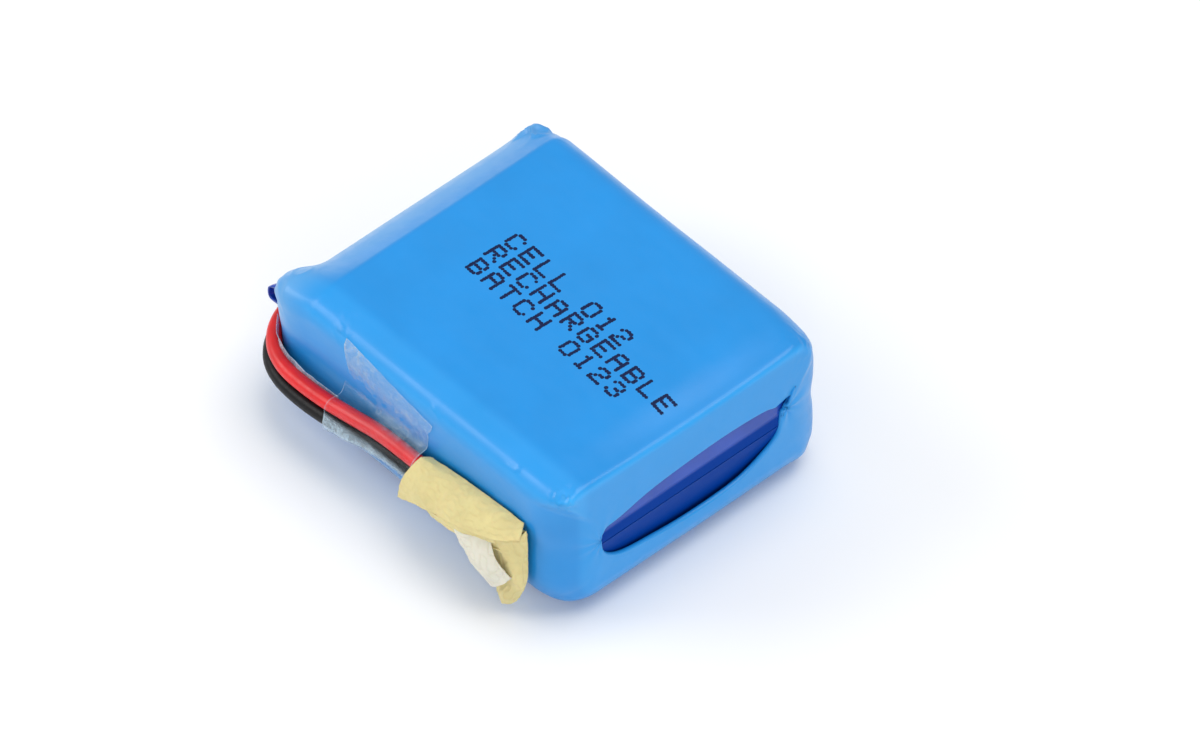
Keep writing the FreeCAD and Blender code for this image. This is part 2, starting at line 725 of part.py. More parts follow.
def build():
    """Make every node and write its STEP file."""
    os.makedirs("parts", exist_ok=True)
    nodes = cells()
    nodes["bond_tape"] = bond_sheet()
    nodes["shrink_sleeve"] = shrink_sleeve()
    nodes["insulating_paper"] = insulating_paper()
    nodes["board"] = board()
    nodes["positive_link"] = nickel_link(1)
    nodes["negative_link"] = nickel_link(-1)
    nodes["board_mosfet"] = chip(mosfet_place, mosfet_size, *mosfet_legs)
    nodes["board_protection_chip"] = chip(protection_chip_place, protection_chip_size,
                                          *protection_chip_legs)
    nodes["board_resistors"] = small_chips(resistor_places)
    nodes["board_capacitor"] = small_chips(capacitor_places)
    nodes["board_tape"] = board_tape_cover()
    nodes["clear_tape"] = clear_tape_strip()
    nodes["lead_end_tape"] = lead_end_tape()
    nodes.update(lead("red_lead", red_route))
    nodes.update(lead("black_lead", black_route))
    cores = nodes["red_lead_conductor"].fuse(nodes["black_lead_conductor"])
    cores = cores.fuse(lead_room(core_clearance, bare=False))
    joints = [solder_joint(route).cut(cores) for route in (red_route, black_route)]
    nodes["lead_solder"] = Part.makeCompound([solid for joint in joints for solid in joint.Solids])
    for node, shape in nodes.items():
        export(node, shape)
    print(len(nodes), "nodes, pack", [round(size, 2) for size in (pack_length, pack_width, pack_height)])


build()
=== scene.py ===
"""Looks of a small lithium-polymer battery pack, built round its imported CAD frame.

The pack lies on its large face: a pair of pouch cells in dark blue film, a light blue heat-shrink
sleeve over both, a red and a black lead held along one side by clear tape, and a scrap of paper tape
folded round the lead ends. Builders work in millimetres; meshes are made in metres.
"""
import json
import logging
import math
from dataclasses import dataclass, field
from enum import Enum
from typing import Sequence

import bmesh
import bpy
import numpy as np
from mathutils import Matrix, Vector


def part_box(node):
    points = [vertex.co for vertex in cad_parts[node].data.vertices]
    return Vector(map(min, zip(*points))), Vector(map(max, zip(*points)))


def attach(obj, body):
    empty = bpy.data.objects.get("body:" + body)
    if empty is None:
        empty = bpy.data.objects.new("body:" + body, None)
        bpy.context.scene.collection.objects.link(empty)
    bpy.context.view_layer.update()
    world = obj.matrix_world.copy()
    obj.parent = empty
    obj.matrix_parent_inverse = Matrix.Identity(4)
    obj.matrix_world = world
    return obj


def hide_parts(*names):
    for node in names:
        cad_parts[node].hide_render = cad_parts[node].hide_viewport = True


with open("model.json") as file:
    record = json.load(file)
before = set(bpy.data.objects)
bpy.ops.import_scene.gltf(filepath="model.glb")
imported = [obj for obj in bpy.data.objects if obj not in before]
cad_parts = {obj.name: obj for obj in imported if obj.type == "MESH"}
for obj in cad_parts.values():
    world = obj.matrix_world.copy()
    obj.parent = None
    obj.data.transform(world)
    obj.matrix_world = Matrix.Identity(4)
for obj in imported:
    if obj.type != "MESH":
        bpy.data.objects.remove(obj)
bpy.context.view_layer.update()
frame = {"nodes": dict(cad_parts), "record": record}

MM = 0.001
log = logging.getLogger("pouch_pack")

Triple = tuple[float, float, float]      # a point, or a linear colour
Socket = bpy.types.NodeSocket
Piece = bpy.types.Object


# ------------------------------------------------------------------ shared shaping tools

def smooth_step(low: float, high: float, value: np.ndarray | float) -> np.ndarray | float:
    """Ease values from 0 at one limit to 1 at the other."""
    share = np.clip((value - low) / (high - low), 0.0, 1.0)
    return share * share * (3.0 - 2.0 * share)


def round_max(first: np.ndarray, second: np.ndarray, radius: np.ndarray) -> np.ndarray:
    """Join two half-space distances with a rounded outer edge.

    Args:
        first: signed distance outside one surface.
        second: signed distance outside the other surface.
        radius: rounding radius of the edge where they meet.

    Returns:
        Signed distance outside the rounded pair.
    """
    rounded = np.hypot(np.maximum(first + radius, 0.0), np.maximum(second + radius, 0.0)) - radius
    inside = np.minimum(np.maximum(first, second), -radius)
    return np.where((first > -radius) | (second > -radius), rounded, inside)


def curve_through(points: Sequence, count: int, closed: bool = False) -> np.ndarray:
    """Run a smooth curve through points, or a smooth surface through rows of points.

    Args:
        points: the points, or rows of points, to pass through.
        count: how many samples to return along the first axis.
        closed: whether the curve returns to its first point.

    Returns:
        The samples, evenly spread over the spans.
    """
    knots = np.asarray(points, float)
    spans = len(knots) if closed else len(knots) - 1
    place = np.linspace(0.0, spans, count, endpoint=not closed)
    index = np.minimum(place.astype(int), spans - 1)
    share = (place - index).reshape((-1,) + (1,) * (knots.ndim - 1))

    def knot(offset: int) -> np.ndarray:
        """The knots at an offset from each sample's span.

        Args:
            offset: how many knots ahead, or behind when negative.

        Returns:
            One knot for each sample.
        """
        wanted = index + offset
        if closed:
            return knots[wanted % len(knots)]
        low_side = 2 * knots[0] - knots[1]
        high_side = 2 * knots[-1] - knots[-2]
        padded = np.concatenate([low_side[None], knots, high_side[None]])
        return padded[wanted + 1]

    before, start, end, after = knot(-1), knot(0), knot(1), knot(2)
    return 0.5 * (2 * start + (end - before) * share
                  + (2 * before - 5 * start + 4 * end - after) * share ** 2
                  + (3 * start - before - 3 * end + after) * share ** 3)


class Ripple:
    """Smooth repeatable unevenness: a sum of waves that run in seeded random directions."""

    def __init__(self, seed: int, wavelength: float, waves: int = 14) -> None:
        """Draw the waves.

        Args:
            seed: fixes the draw.
            wavelength: typical distance between crests, in millimetres.
            waves: how many waves are summed.
        """
        draw = np.random.default_rng(seed)
        directions = draw.normal(size=(waves, 3))
        directions /= np.linalg.norm(directions, axis=1)[:, None]
        lengths = wavelength * draw.uniform(0.7, 1.4, waves)
        self.numbers = directions * (2 * math.pi / lengths)[:, None]
        self.phases = draw.uniform(0, 2 * math.pi, waves)

    def at(self, points: np.ndarray) -> np.ndarray:
        """Height of the unevenness at each point, mostly within -1 to 1."""
        waves = np.sin(points @ self.numbers.T + self.phases)
        return waves.sum(-1) / math.sqrt(len(self.phases))

    def ridges(self, points: np.ndarray) -> np.ndarray:
        """The same unevenness folded into narrow ridges, from 0 to about 1."""
        return np.exp(-(self.at(points) / 0.35) ** 2)


def surface_normals(points: np.ndarray, closed: bool) -> np.ndarray:
    """Unit normals of a grid of points.

    Args:
        points: rows by columns by 3.
        closed: whether each row closes on itself.

    Returns:
        Normals in the same shape, along the cross product of the row and column directions.
    """
    along = np.gradient(points, axis=0)
    if closed:
        across = np.roll(points, -1, axis=1) - np.roll(points, 1, axis=1)
    else:
        across = np.gradient(points, axis=1)
    normals = np.cross(across, along)
    return normals / np.maximum(np.linalg.norm(normals, axis=-1, keepdims=True), 1e-9)


def facing_out(points: np.ndarray, axis: int) -> np.ndarray:
    """Unit normals of an open grid, turned to the negative side of an axis on the whole."""
    normals = surface_normals(points, closed=False)
    return -normals if normals[..., axis].mean() > 0 else normals


def curve_across(rows: np.ndarray, count: int) -> np.ndarray:
    """Run a smooth curve through each row of points, with so many samples in a row."""
    return np.swapaxes(curve_through(np.swapaxes(rows, 0, 1), count), 0, 1)


def add_object(name: str, data: bpy.types.ID) -> Piece:
    """Put a new object that holds some data into the scene.

    Args:
        name: the object's name.
        data: its mesh, curve, light or camera.

    Returns:
        The new object.
    """
    made = bpy.data.objects.new(name, data)
    bpy.context.scene.collection.objects.link(made)
    return made


def grid_object(name: str, points: np.ndarray, closed: bool = False,
                marks: dict[str, np.ndarray] | None = None) -> Piece:
    """Make a mesh of quads over a grid of points.

    Args:
        name: the piece's name.
        points: rows by columns by 3, in millimetres.
        closed: whether each row closes on itself.
        marks: per-point values to store as named attributes, for the finish to read.

    Returns:
        The new object, shaded smooth.
    """
    rows, columns = points.shape[:2]
    index = np.arange(rows * columns).reshape(rows, columns)
    last = columns if closed else columns - 1
    here = np.arange(last)
    nxt = (here + 1) % columns
    quads = np.stack([index[:-1][:, here], index[:-1][:, nxt], index[1:][:, nxt], index[1:][:, here]],
                     axis=-1).reshape(-1, 4)
    mesh = bpy.data.meshes.new(name)
    mesh.from_pydata((points.reshape(-1, 3) * MM).tolist(), [], quads.tolist())
    for key, values in (marks or {}).items():
        layer = mesh.attributes.new(key, "FLOAT", "POINT")
        layer.data.foreach_set("value", np.asarray(values, np.float32).ravel())
    mesh.shade_smooth()
    mesh.update()
    return add_object(name, mesh)


def thicken(piece: Piece, thickness: float, offset: float) -> None:
    """Give a sheet its thickness.

    Args:
        piece: the sheet.
        thickness: in millimetres.
        offset: -1 to grow to the back of the surface, 1 to the front, 0 to both sides.
    """
    solid = piece.modifiers.new("thickness", "SOLIDIFY")
    solid.thickness = thickness * MM
    solid.offset = offset
    solid.use_even_offset = False


def settle(piece: Piece, finish: "Finish", slot: str, *nodes: str) -> Piece:
    """Dress a piece, ride it on the pack and say what it stands for.

    Args:
        piece: the piece, already in place.
        finish: what it is dressed in.
        slot: the record's material slot that it belongs to; not used.
        nodes: the CAD nodes that it replaces.

    Returns:
        The same piece.
    """
    finish.dress(piece)
    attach(piece, "root")
    if nodes:
        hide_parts(*nodes)
    log.info("%s stands for %s", piece.name, ", ".join(nodes) or "detail on the pack")
    return piece


# ------------------------------------------------------------------ finishes

class Graph:
    """A small helper that wires one material's nodes."""

    def __init__(self, name: str) -> None:
        """Start a material with a plain shader and its output.

        Args:
            name: the material's name.
        """
        self.material = bpy.data.materials.new(name)
        self.material.use_nodes = True
        self.tree = self.material.node_tree
        self.tree.nodes.clear()
        self.shader = self.tree.nodes.new("ShaderNodeBsdfPrincipled")
        output = self.tree.nodes.new("ShaderNodeOutputMaterial")
        self.tree.links.new(self.shader.outputs["BSDF"], output.inputs["Surface"])
        coordinates = self.tree.nodes.new("ShaderNodeTexCoord")
        self.place = coordinates.outputs["Object"]

    def feed(self, node: bpy.types.Node, inputs: dict[str | int, object]) -> None:
        """Feed a node's inputs.

        Args:
            node: the node.
            inputs: a socket to link, or a constant to set, for each input by name or number.
        """
        for key, value in inputs.items():
            if isinstance(value, Socket):
                self.tree.links.new(value, node.inputs[key])
            else:
                node.inputs[key].default_value = value

    def surface(self, **inputs: object) -> None:
        """Feed the shader's inputs, by name with _ for space."""
        self.feed(self.shader, {key.replace("_", " "): value for key, value in inputs.items()})

    def node(self, kind: str, output: str | int, inputs: dict[str | int, object],
             **settings: str) -> Socket:
        """Add a node.

        Args:
            kind: the end of its type's name.
            output: which of its outputs is wanted.
            inputs: what it is fed.
            settings: its own properties.

        Returns:
            The wanted output's socket.
        """
        made = self.tree.nodes.new("ShaderNode" + kind)
        for key, value in settings.items():
            setattr(made, key, value)
        self.feed(made, inputs)
        return made.outputs[output]

    def stretched(self, scale: Triple) -> Socket:
        """Object coordinates scaled by axis, so that a pattern can run longer one way."""
        return self.node("Mapping", "Vector", {"Vector": self.place, "Scale": scale})

    def noise(self, wavelength: float, detail: float = 2.0, roughness: float = 0.5,
              stretch: Triple = (1.0, 1.0, 1.0)) -> Socket:
        """Fractal noise.

        Args:
            wavelength: size of its main features, in millimetres.
            detail: how many finer octaves are added.
            roughness: strength of the finer octaves.
            stretch: scale of the coordinates by axis.

        Returns:
            The noise's value socket.
        """
        return self.node("TexNoise", "Fac", {
            "Scale": 1.0 / (wavelength * MM), "Detail": detail, "Roughness": roughness,
            "Vector": self.stretched(stretch)})

    def height(self) -> Socket:
        """Height above the floor, in metres."""
        return self.node("SeparateXYZ", "Z", {"Vector": self.place})

    def attribute(self, name: str) -> Socket:
        """The value of a named per-point attribute."""
        return self.node("Attribute", "Fac", {}, attribute_name=name)

    def ramp(self, value: Socket,
             stops: Sequence[tuple[float, Triple]]) -> Socket:
        """Turn a value into a colour.

        Args:
            value: the value to look up.
            stops: positions from 0 to 1 with linear colours.

        Returns:
            The colour socket.
        """
        node = self.tree.nodes.new("ShaderNodeValToRGB")
        elements = node.color_ramp.elements
        while len(elements) < len(stops):
            elements.new(0.5)
        for element, (position, color) in zip(elements, stops):
            element.position = position
            element.color = (*color, 1.0)
        self.feed(node, {"Fac": value})
        return node.outputs["Color"]

    def span(self, value: Socket, low: float, high: float,
             source: tuple[float, float] = (0.0, 1.0)) -> Socket:
        """Map a value from one range to another.

        Args:
            value: the value to map.
            low: the result at the start of the source range.
            high: the result at its end.
            source: the range that the value comes in.

        Returns:
            The mapped value's socket.
        """
        return self.node("MapRange", "Result", {"From Min": source[0], "From Max": source[1],
                                                "To Min": low, "To Max": high, "Value": value})

    def math(self, operation: str, first: Socket, second: Socket | float) -> Socket:
        """Combine two values."""
        return self.node("Math", 0, {0: first, 1: second}, operation=operation)

    def blend(self, share: Socket, first: Socket, second: Socket | Triple) -> Socket:
        """Mix two colours by a varying share."""
        last = (*second, 1.0) if isinstance(second, tuple) else second
        return self.node("Mix", "Result", {"Factor": share, "A": first, "B": last}, data_type="RGBA")

    def rough(self, pattern: Socket, low: float, high: float,
              source: tuple[float, float] = (0.3, 0.7)) -> None:
        """Feed the shader's roughness from a pattern, by the terms of span()."""
        self.surface(Roughness=self.span(pattern, low, high, source))

    def bump(self, height: Socket, depth: float) -> None:
        """Raise the surface by a height pattern, on top of any earlier one.

        Args:
            height: the pattern, from 0 to 1.
            depth: its full height in millimetres.
        """
        inputs = {"Strength": 1.0, "Distance": depth * MM, "Height": height}
        earlier = self.shader.inputs["Normal"]
        if earlier.is_linked:
            inputs["Normal"] = earlier.links[0].from_socket
        self.surface(Normal=self.node("Bump", "Normal", inputs))


@dataclass(frozen=True)
class Finish:
    """A named surface finish. Each kind says how to wire its own nodes."""

    name: str
    color: Triple
    roughness: float

    def wire(self, graph: Graph) -> None:
        """Wire this finish's nodes into a fresh graph."""
        raise NotImplementedError

    def tone(self, graph: Graph, pattern: Socket, ends: tuple[float, float],
             factors: tuple[float, float]) -> Socket:
        """This finish's colour, made darker and lighter between two ends of a pattern."""
        return graph.ramp(pattern, [(end, shade(self.color, by)) for end, by in zip(ends, factors)])

    def material(self) -> bpy.types.Material:
        """The finish's material, made on first use.

        Returns:
            The material.
        """
        made = bpy.data.materials.get(self.name)
        if made is None:
            graph = Graph(self.name)
            self.wire(graph)
            made = graph.material
        return made

    def dress(self, piece: Piece) -> None:
        """Put this finish on a piece, whatever it wore before.

        Args:
            piece: the piece, made here or by the CAD.
        """
        if piece.material_slots:
            for slot in piece.material_slots:
                slot.material = self.material()
        else:
            piece.data.materials.append(self.material())


def shade(color: Triple, factor: float) -> Triple:
    """A colour made lighter or darker by a factor."""
    return tuple(min(1.0, channel * factor) for channel in color)


@dataclass(frozen=True)
class ShrunkFilm(Finish):
    """Blue heat-shrink film: even colour, soft gloss, paler where it is stretched thin, with painted
    highlights on its edges and open end and a painted sheen where it stands off over the lead end.
    """

    thin_color: Triple = (0.035, 0.40, 0.88)
    slack_color: Triple = (0.11, 0.36, 0.70)

    def wire(self, graph: Graph) -> None:
        """Wire cloudy colour, thinned edges with painted highlights, a painted sheen over the lead end, faint
        draw lines and the film's orange peel.

        Args:
            graph: the finish's fresh graph.
        """
        cloud = graph.noise(9.0, 3.0, 0.55)
        base = self.tone(graph, cloud, (0.25, 0.75), (0.94, 1.05))
        # Paler colour for thinned film, mixed with painted highlights on the edges and corner and a painted
        # lighter open end face.
        highlighted = graph.blend(graph.attribute("thin_and_highlight"), base, self.thin_color)
        # Painted sheen: the upper part of the sloping lead end is painted paler and greyer, as if it
        # reflected the surroundings.
        sheen = graph.math("MULTIPLY", graph.attribute("slack_sheen"), graph.span(graph.noise(4.0), 0.5, 1.1))
        graph.surface(Base_Color=graph.blend(sheen, highlighted, self.slack_color))
        scuff = graph.noise(1.4, 5.0, 0.7, (0.35, 1.0, 1.0))
        graph.rough(scuff, self.roughness - 0.06, self.roughness + 0.10)
        graph.surface(Specular_IOR_Level=0.4, Coat_Weight=0.18, Coat_Roughness=0.16)
        graph.bump(graph.noise(2.2, 2.0, 0.5), 0.012)
        graph.bump(graph.noise(0.45, 3.0, 0.6, (0.4, 1.0, 1.0)), 0.004)


@dataclass(frozen=True)
class GlossFilm(Finish):
    """Thin smooth plastic film or tape, duller and with painted shade below a height."""

    wrinkle: float = 0.01
    dull_below: float = -1.0         # millimetres above the floor
    deep_color: Triple = (0.0, 0.042, 0.30)

    def wire(self, graph: Graph) -> None:
        """Wire slight tone drift, smears in the gloss, painted shade with duller gloss below a height, and
        shallow wrinkles.

        Args:
            graph: the finish's fresh graph.
        """
        drift = graph.noise(5.0, 3.0)
        tone = self.tone(graph, drift, (0.2, 0.8), (0.8, 1.2))
        smear = graph.noise(1.2, 4.0, 0.65, (1.0, 0.3, 1.0))
        gloss = graph.span(smear, self.roughness * 0.8, self.roughness * 1.5, (0.3, 0.7))
        # Painted shade: below the height the colour turns to the dark shade colour, and the gloss drops.
        low, high = (self.dull_below - 0.3) * MM, (self.dull_below + 0.1) * MM
        shade_and_dull = graph.span(graph.height(), 1.0, 0.0, (low, high))
        graph.surface(Base_Color=graph.blend(shade_and_dull, tone, self.deep_color))
        graph.surface(Roughness=graph.math("ADD", gloss, graph.math("MULTIPLY", shade_and_dull, 0.22)),
                      Specular_IOR_Level=graph.span(shade_and_dull, 0.5, 0.05),
                      Coat_Weight=graph.span(shade_and_dull, 0.30, 0.0), Coat_Roughness=0.08)
        graph.bump(graph.noise(1.8, 3.0, 0.55, (1.0, 0.45, 1.0)), self.wrinkle)


@dataclass(frozen=True)
class ClearTape(Finish):
    """Transparent tape: nearly invisible where it lies flat, milky where air or a wrinkle lifts it, and
    painted paler as reflection over the black lead and on its edge-on tail.
    """

    haze: float = 0.16
    grain: float = 0.35
    densest: float = 0.85            # most that the tape ever hides

    def wire(self, graph: Graph) -> None:
        """Wire the milky grain, the wrinkles' glints and the clear parts between them.

        Args:
            graph: the finish's fresh graph.
        """
        grain = graph.noise(self.grain, 4.0, 0.75, (1.0, 1.0, 0.6))
        broad = graph.noise(3.0, 2.0, 0.5)
        milky = graph.math("MULTIPLY", grain, broad)
        # The lift mark holds milkiness from trapped air and wrinkles, and painted reflection over the black
        # lead and on the tape's tail.
        lift = graph.attribute("lift")
        clear = graph.span(milky, 0.0, self.haze * 3.2, (0.20, 0.40))
        raised = graph.math("MULTIPLY", graph.math("ADD", clear, 0.25), graph.span(lift, 0.04, 1.9))
        graph.surface(Alpha=graph.math("MINIMUM", raised, self.densest))
        graph.surface(Base_Color=self.tone(graph, grain, (0.3, 0.7), (0.85, 1.0)))
        graph.rough(grain, self.roughness * 0.6, self.roughness * 1.8)
        graph.surface(Coat_Weight=0.5, Coat_Roughness=0.07)
        graph.bump(graph.noise(0.8, 3.0, 0.6, (1.0, 1.0, 0.3)), 0.09)
        graph.bump(grain, 0.03)


@dataclass(frozen=True)
class Insulation(Finish):
    """Extruded lead insulation, smooth with a soft gloss and faint handling marks."""

    gloss: float = 0.5

    def wire(self, graph: Graph) -> None:
        """Wire a little tone drift, fine extrusion lines and small scuffs.

        Args:
            graph: the finish's fresh graph.
        """
        drift = graph.noise(2.5, 3.0)
        graph.surface(Base_Color=self.tone(graph, drift, (0.3, 0.7), (0.86, 1.08)))
        scuff = graph.noise(0.5, 4.0, 0.7)
        graph.rough(scuff, self.roughness - 0.06, self.roughness + 0.12, (0.35, 0.7))
        graph.surface(Specular_IOR_Level=self.gloss, Coat_Weight=0.3 * self.gloss, Coat_Roughness=0.2)
        graph.bump(graph.noise(0.6, 3.0), 0.01)


@dataclass(frozen=True)
class CrepePaper(Finish):
    """Creped paper tape: fine ridges across the tape, fibres, and darker colour along the folds."""

    soil_color: Triple = (0.52, 0.40, 0.16)

    def wire(self, graph: Graph) -> None:
        """Wire the crepe ridges, paper fibres, soft light through the sheet and darker folds.

        Args:
            graph: the finish's fresh graph.
        """
        crepe = graph.noise(0.55, 3.0, 0.6, (1.0, 0.35, 0.35))
        fibre = graph.noise(0.18, 4.0, 0.75)
        patch = graph.noise(2.6, 3.0, 0.6)
        base = self.tone(graph, patch, (0.25, 0.75), (0.90, 1.06))
        # Darker colour along the crumple ridges.
        fold_dark = graph.math("MULTIPLY", graph.attribute("fold"), graph.span(crepe, 0.2, 1.0))
        graph.surface(Base_Color=graph.blend(fold_dark, base, self.soil_color))
        graph.rough(fibre, self.roughness - 0.08, self.roughness + 0.08)
        graph.surface(Specular_IOR_Level=0.25, Sheen_Weight=0.15, Sheen_Roughness=0.5,
                        Subsurface_Weight=0.12, Subsurface_Scale=0.0006)
        graph.bump(crepe, 0.045)
        graph.bump(fibre, 0.012)


@dataclass(frozen=True)
class Ink(Finish):
    """Dark ink-jet ink, soaked unevenly into the film's surface."""

    def wire(self, graph: Graph) -> None:
        """Wire uneven density and a dull skin.

        Args:
            graph: the finish's fresh graph.
        """
        density = graph.noise(0.35, 3.0, 0.6)
        graph.surface(Base_Color=self.tone(graph, density, (0.25, 0.8), (1.0, 1.6)))
        graph.surface(Specular_IOR_Level=0.15)
        graph.rough(density, self.roughness, self.roughness + 0.2, (0.0, 1.0))
        graph.bump(density, 0.006)


@dataclass(frozen=True)
class Metal(Finish):
    """Bare or plated metal with a drawn or rolled grain."""

    grain: Triple = (0.15, 1.0, 1.0)

    def wire(self, graph: Graph) -> None:
        """Wire the rolled grain, tarnish patches and fine scratches.

        Args:
            graph: the finish's fresh graph.
        """
        tarnish = graph.noise(2.0, 4.0, 0.6)
        graph.surface(Base_Color=self.tone(graph, tarnish, (0.3, 0.7), (0.78, 1.0)))
        rolled = graph.noise(0.25, 4.0, 0.7, self.grain)
        graph.rough(rolled, self.roughness - 0.08, self.roughness + 0.14)
        graph.surface(Metallic=1.0)
        graph.bump(rolled, 0.004)


@dataclass(frozen=True)
class DullLayer(Finish):
    """A matt coated, moulded or pressed layer with a fine grain."""

    grain: float = 0.3
    relief: float = 0.006

    def wire(self, graph: Graph) -> None:
        """Wire mottled tone, grainy roughness and a fine relief.

        Args:
            graph: the finish's fresh graph.
        """
        mottle = graph.noise(1.6, 4.0, 0.6)
        graph.surface(Base_Color=self.tone(graph, mottle, (0.25, 0.75), (0.82, 1.15)))
        fine = graph.noise(self.grain, 4.0, 0.7)
        graph.rough(fine, self.roughness - 0.08, self.roughness + 0.08)
        graph.bump(fine, self.relief)


@dataclass(frozen=True)
class PlainFloor(Finish):
    """An even pale ground that only shows the pack's shadow."""

    def wire(self, graph: Graph) -> None:
        """Wire one even colour with a barely varied roughness."""
        graph.surface(Base_Color=(*self.color, 1.0), Specular_IOR_Level=0.2)
        graph.rough(graph.noise(30.0), self.roughness - 0.02, self.roughness + 0.02, (0.0, 1.0))


@dataclass(frozen=True)
class SolderMask(Finish):
    """A circuit board's lacquer over copper tracks that show through it."""

    track_color: Triple = (0.06, 0.34, 0.14)

    def wire(self, graph: Graph) -> None:
        """Wire blocky tracks under the lacquer and the glass weave below.

        Args:
            graph: the finish's fresh graph.
        """
        cells = graph.node("TexVoronoi", "Distance", {
            "Scale": 1.0 / (1.8 * MM), "Vector": graph.stretched((1.0, 0.5, 1.0))}, distance="MANHATTAN")
        track = graph.span(cells, 0.0, 1.0, (0.42, 0.48))
        base = self.tone(graph, graph.noise(3.0), (0.2, 0.8), (0.85, 1.0))
        graph.surface(Base_Color=graph.blend(track, base, self.track_color))
        weave = graph.noise(0.2, 2.0)
        graph.rough(weave, self.roughness - 0.05, self.roughness + 0.08, (0.0, 1.0))
        graph.surface(Coat_Weight=0.3, Coat_Roughness=0.12)
        graph.bump(track, 0.02)


class Finishes(Enum):
    """Every finish on the pack, by the record's material slot that it dresses."""

    sleeve_film = ShrunkFilm("light_blue_shrink_film", (0.006, 0.262, 0.690), 0.34)
    # Painted shade on the lower cell's end in the open end, below 10.4 mm.
    cell_film = GlossFilm("dark_blue_cell_film", (0.008, 0.062, 0.420), 0.16, 0.02, 10.4)
    board_tape_film = GlossFilm("dark_blue_board_tape", (0.008, 0.060, 0.420), 0.24, 0.04)
    pouch_laminate = Metal("pouch_laminate_silver", (0.80, 0.81, 0.83), 0.34)
    cathode_foil = DullLayer("cathode_coating", (0.025, 0.025, 0.028), 0.72)
    anode_foil = DullLayer("anode_graphite", (0.055, 0.055, 0.060), 0.62)
    separator_film = DullLayer("separator_white", (0.82, 0.82, 0.80), 0.55, 0.2, 0.003)
    roll_tape_film = GlossFilm("green_roll_tape", (0.03, 0.30, 0.08), 0.28)
    aluminium_tab = Metal("aluminium_tab_foil", (0.86, 0.87, 0.88), 0.26)
    nickel_tab = Metal("nickel_tab_foil", (0.66, 0.62, 0.56), 0.30)
    seal_film = DullLayer("tab_seal_film", (0.80, 0.74, 0.56), 0.40, 0.5, 0.004)
    bond_tape_foam = DullLayer("bond_tape_white", (0.84, 0.84, 0.83), 0.66)
    board_laminate = SolderMask("board_green_lacquer", (0.012, 0.16, 0.055), 0.30)
    chip_resin = DullLayer("chip_black_resin", (0.020, 0.020, 0.022), 0.46, 0.12, 0.008)
    resistor_body = DullLayer("resistor_dark_ceramic", (0.035, 0.035, 0.040), 0.38, 0.15)
    capacitor_body = DullLayer("capacitor_tan_ceramic", (0.42, 0.28, 0.15), 0.36, 0.15)
    nickel_link_strip = Metal("nickel_link", (0.66, 0.62, 0.56), 0.28, (1.0, 1.0, 0.15))
    insulating_paper_sheet = DullLayer("barley_paper", (0.46, 0.56, 0.38), 0.80, 0.25, 0.02)
    solder = Metal("solder_alloy", (0.74, 0.74, 0.74), 0.22, (1.0, 1.0, 1.0))
    tinned_copper = Metal("tinned_strands", (0.78, 0.75, 0.70), 0.30, (1.0, 0.2, 1.0))
    red_insulation = Insulation("red_lead_insulation", (0.76, 0.010, 0.013), 0.36, 0.40)
    black_insulation = Insulation("black_lead_insulation", (0.004, 0.004, 0.005), 0.44, 0.22)
    clear_film = ClearTape("clear_tape_film", (0.62, 0.80, 0.93), 0.20, 0.11)
    crepe_paper = CrepePaper("yellow_crepe_paper", (0.76, 0.64, 0.30), 0.78)


MARKING_INK = Ink("marking_ink", (0.004, 0.010, 0.050), 0.48)
CREAM_PAPER = CrepePaper("cream_paper_underside", (0.78, 0.74, 0.62), 0.82, (0.55, 0.47, 0.28))


# ------------------------------------------------------------------ the pack's pieces

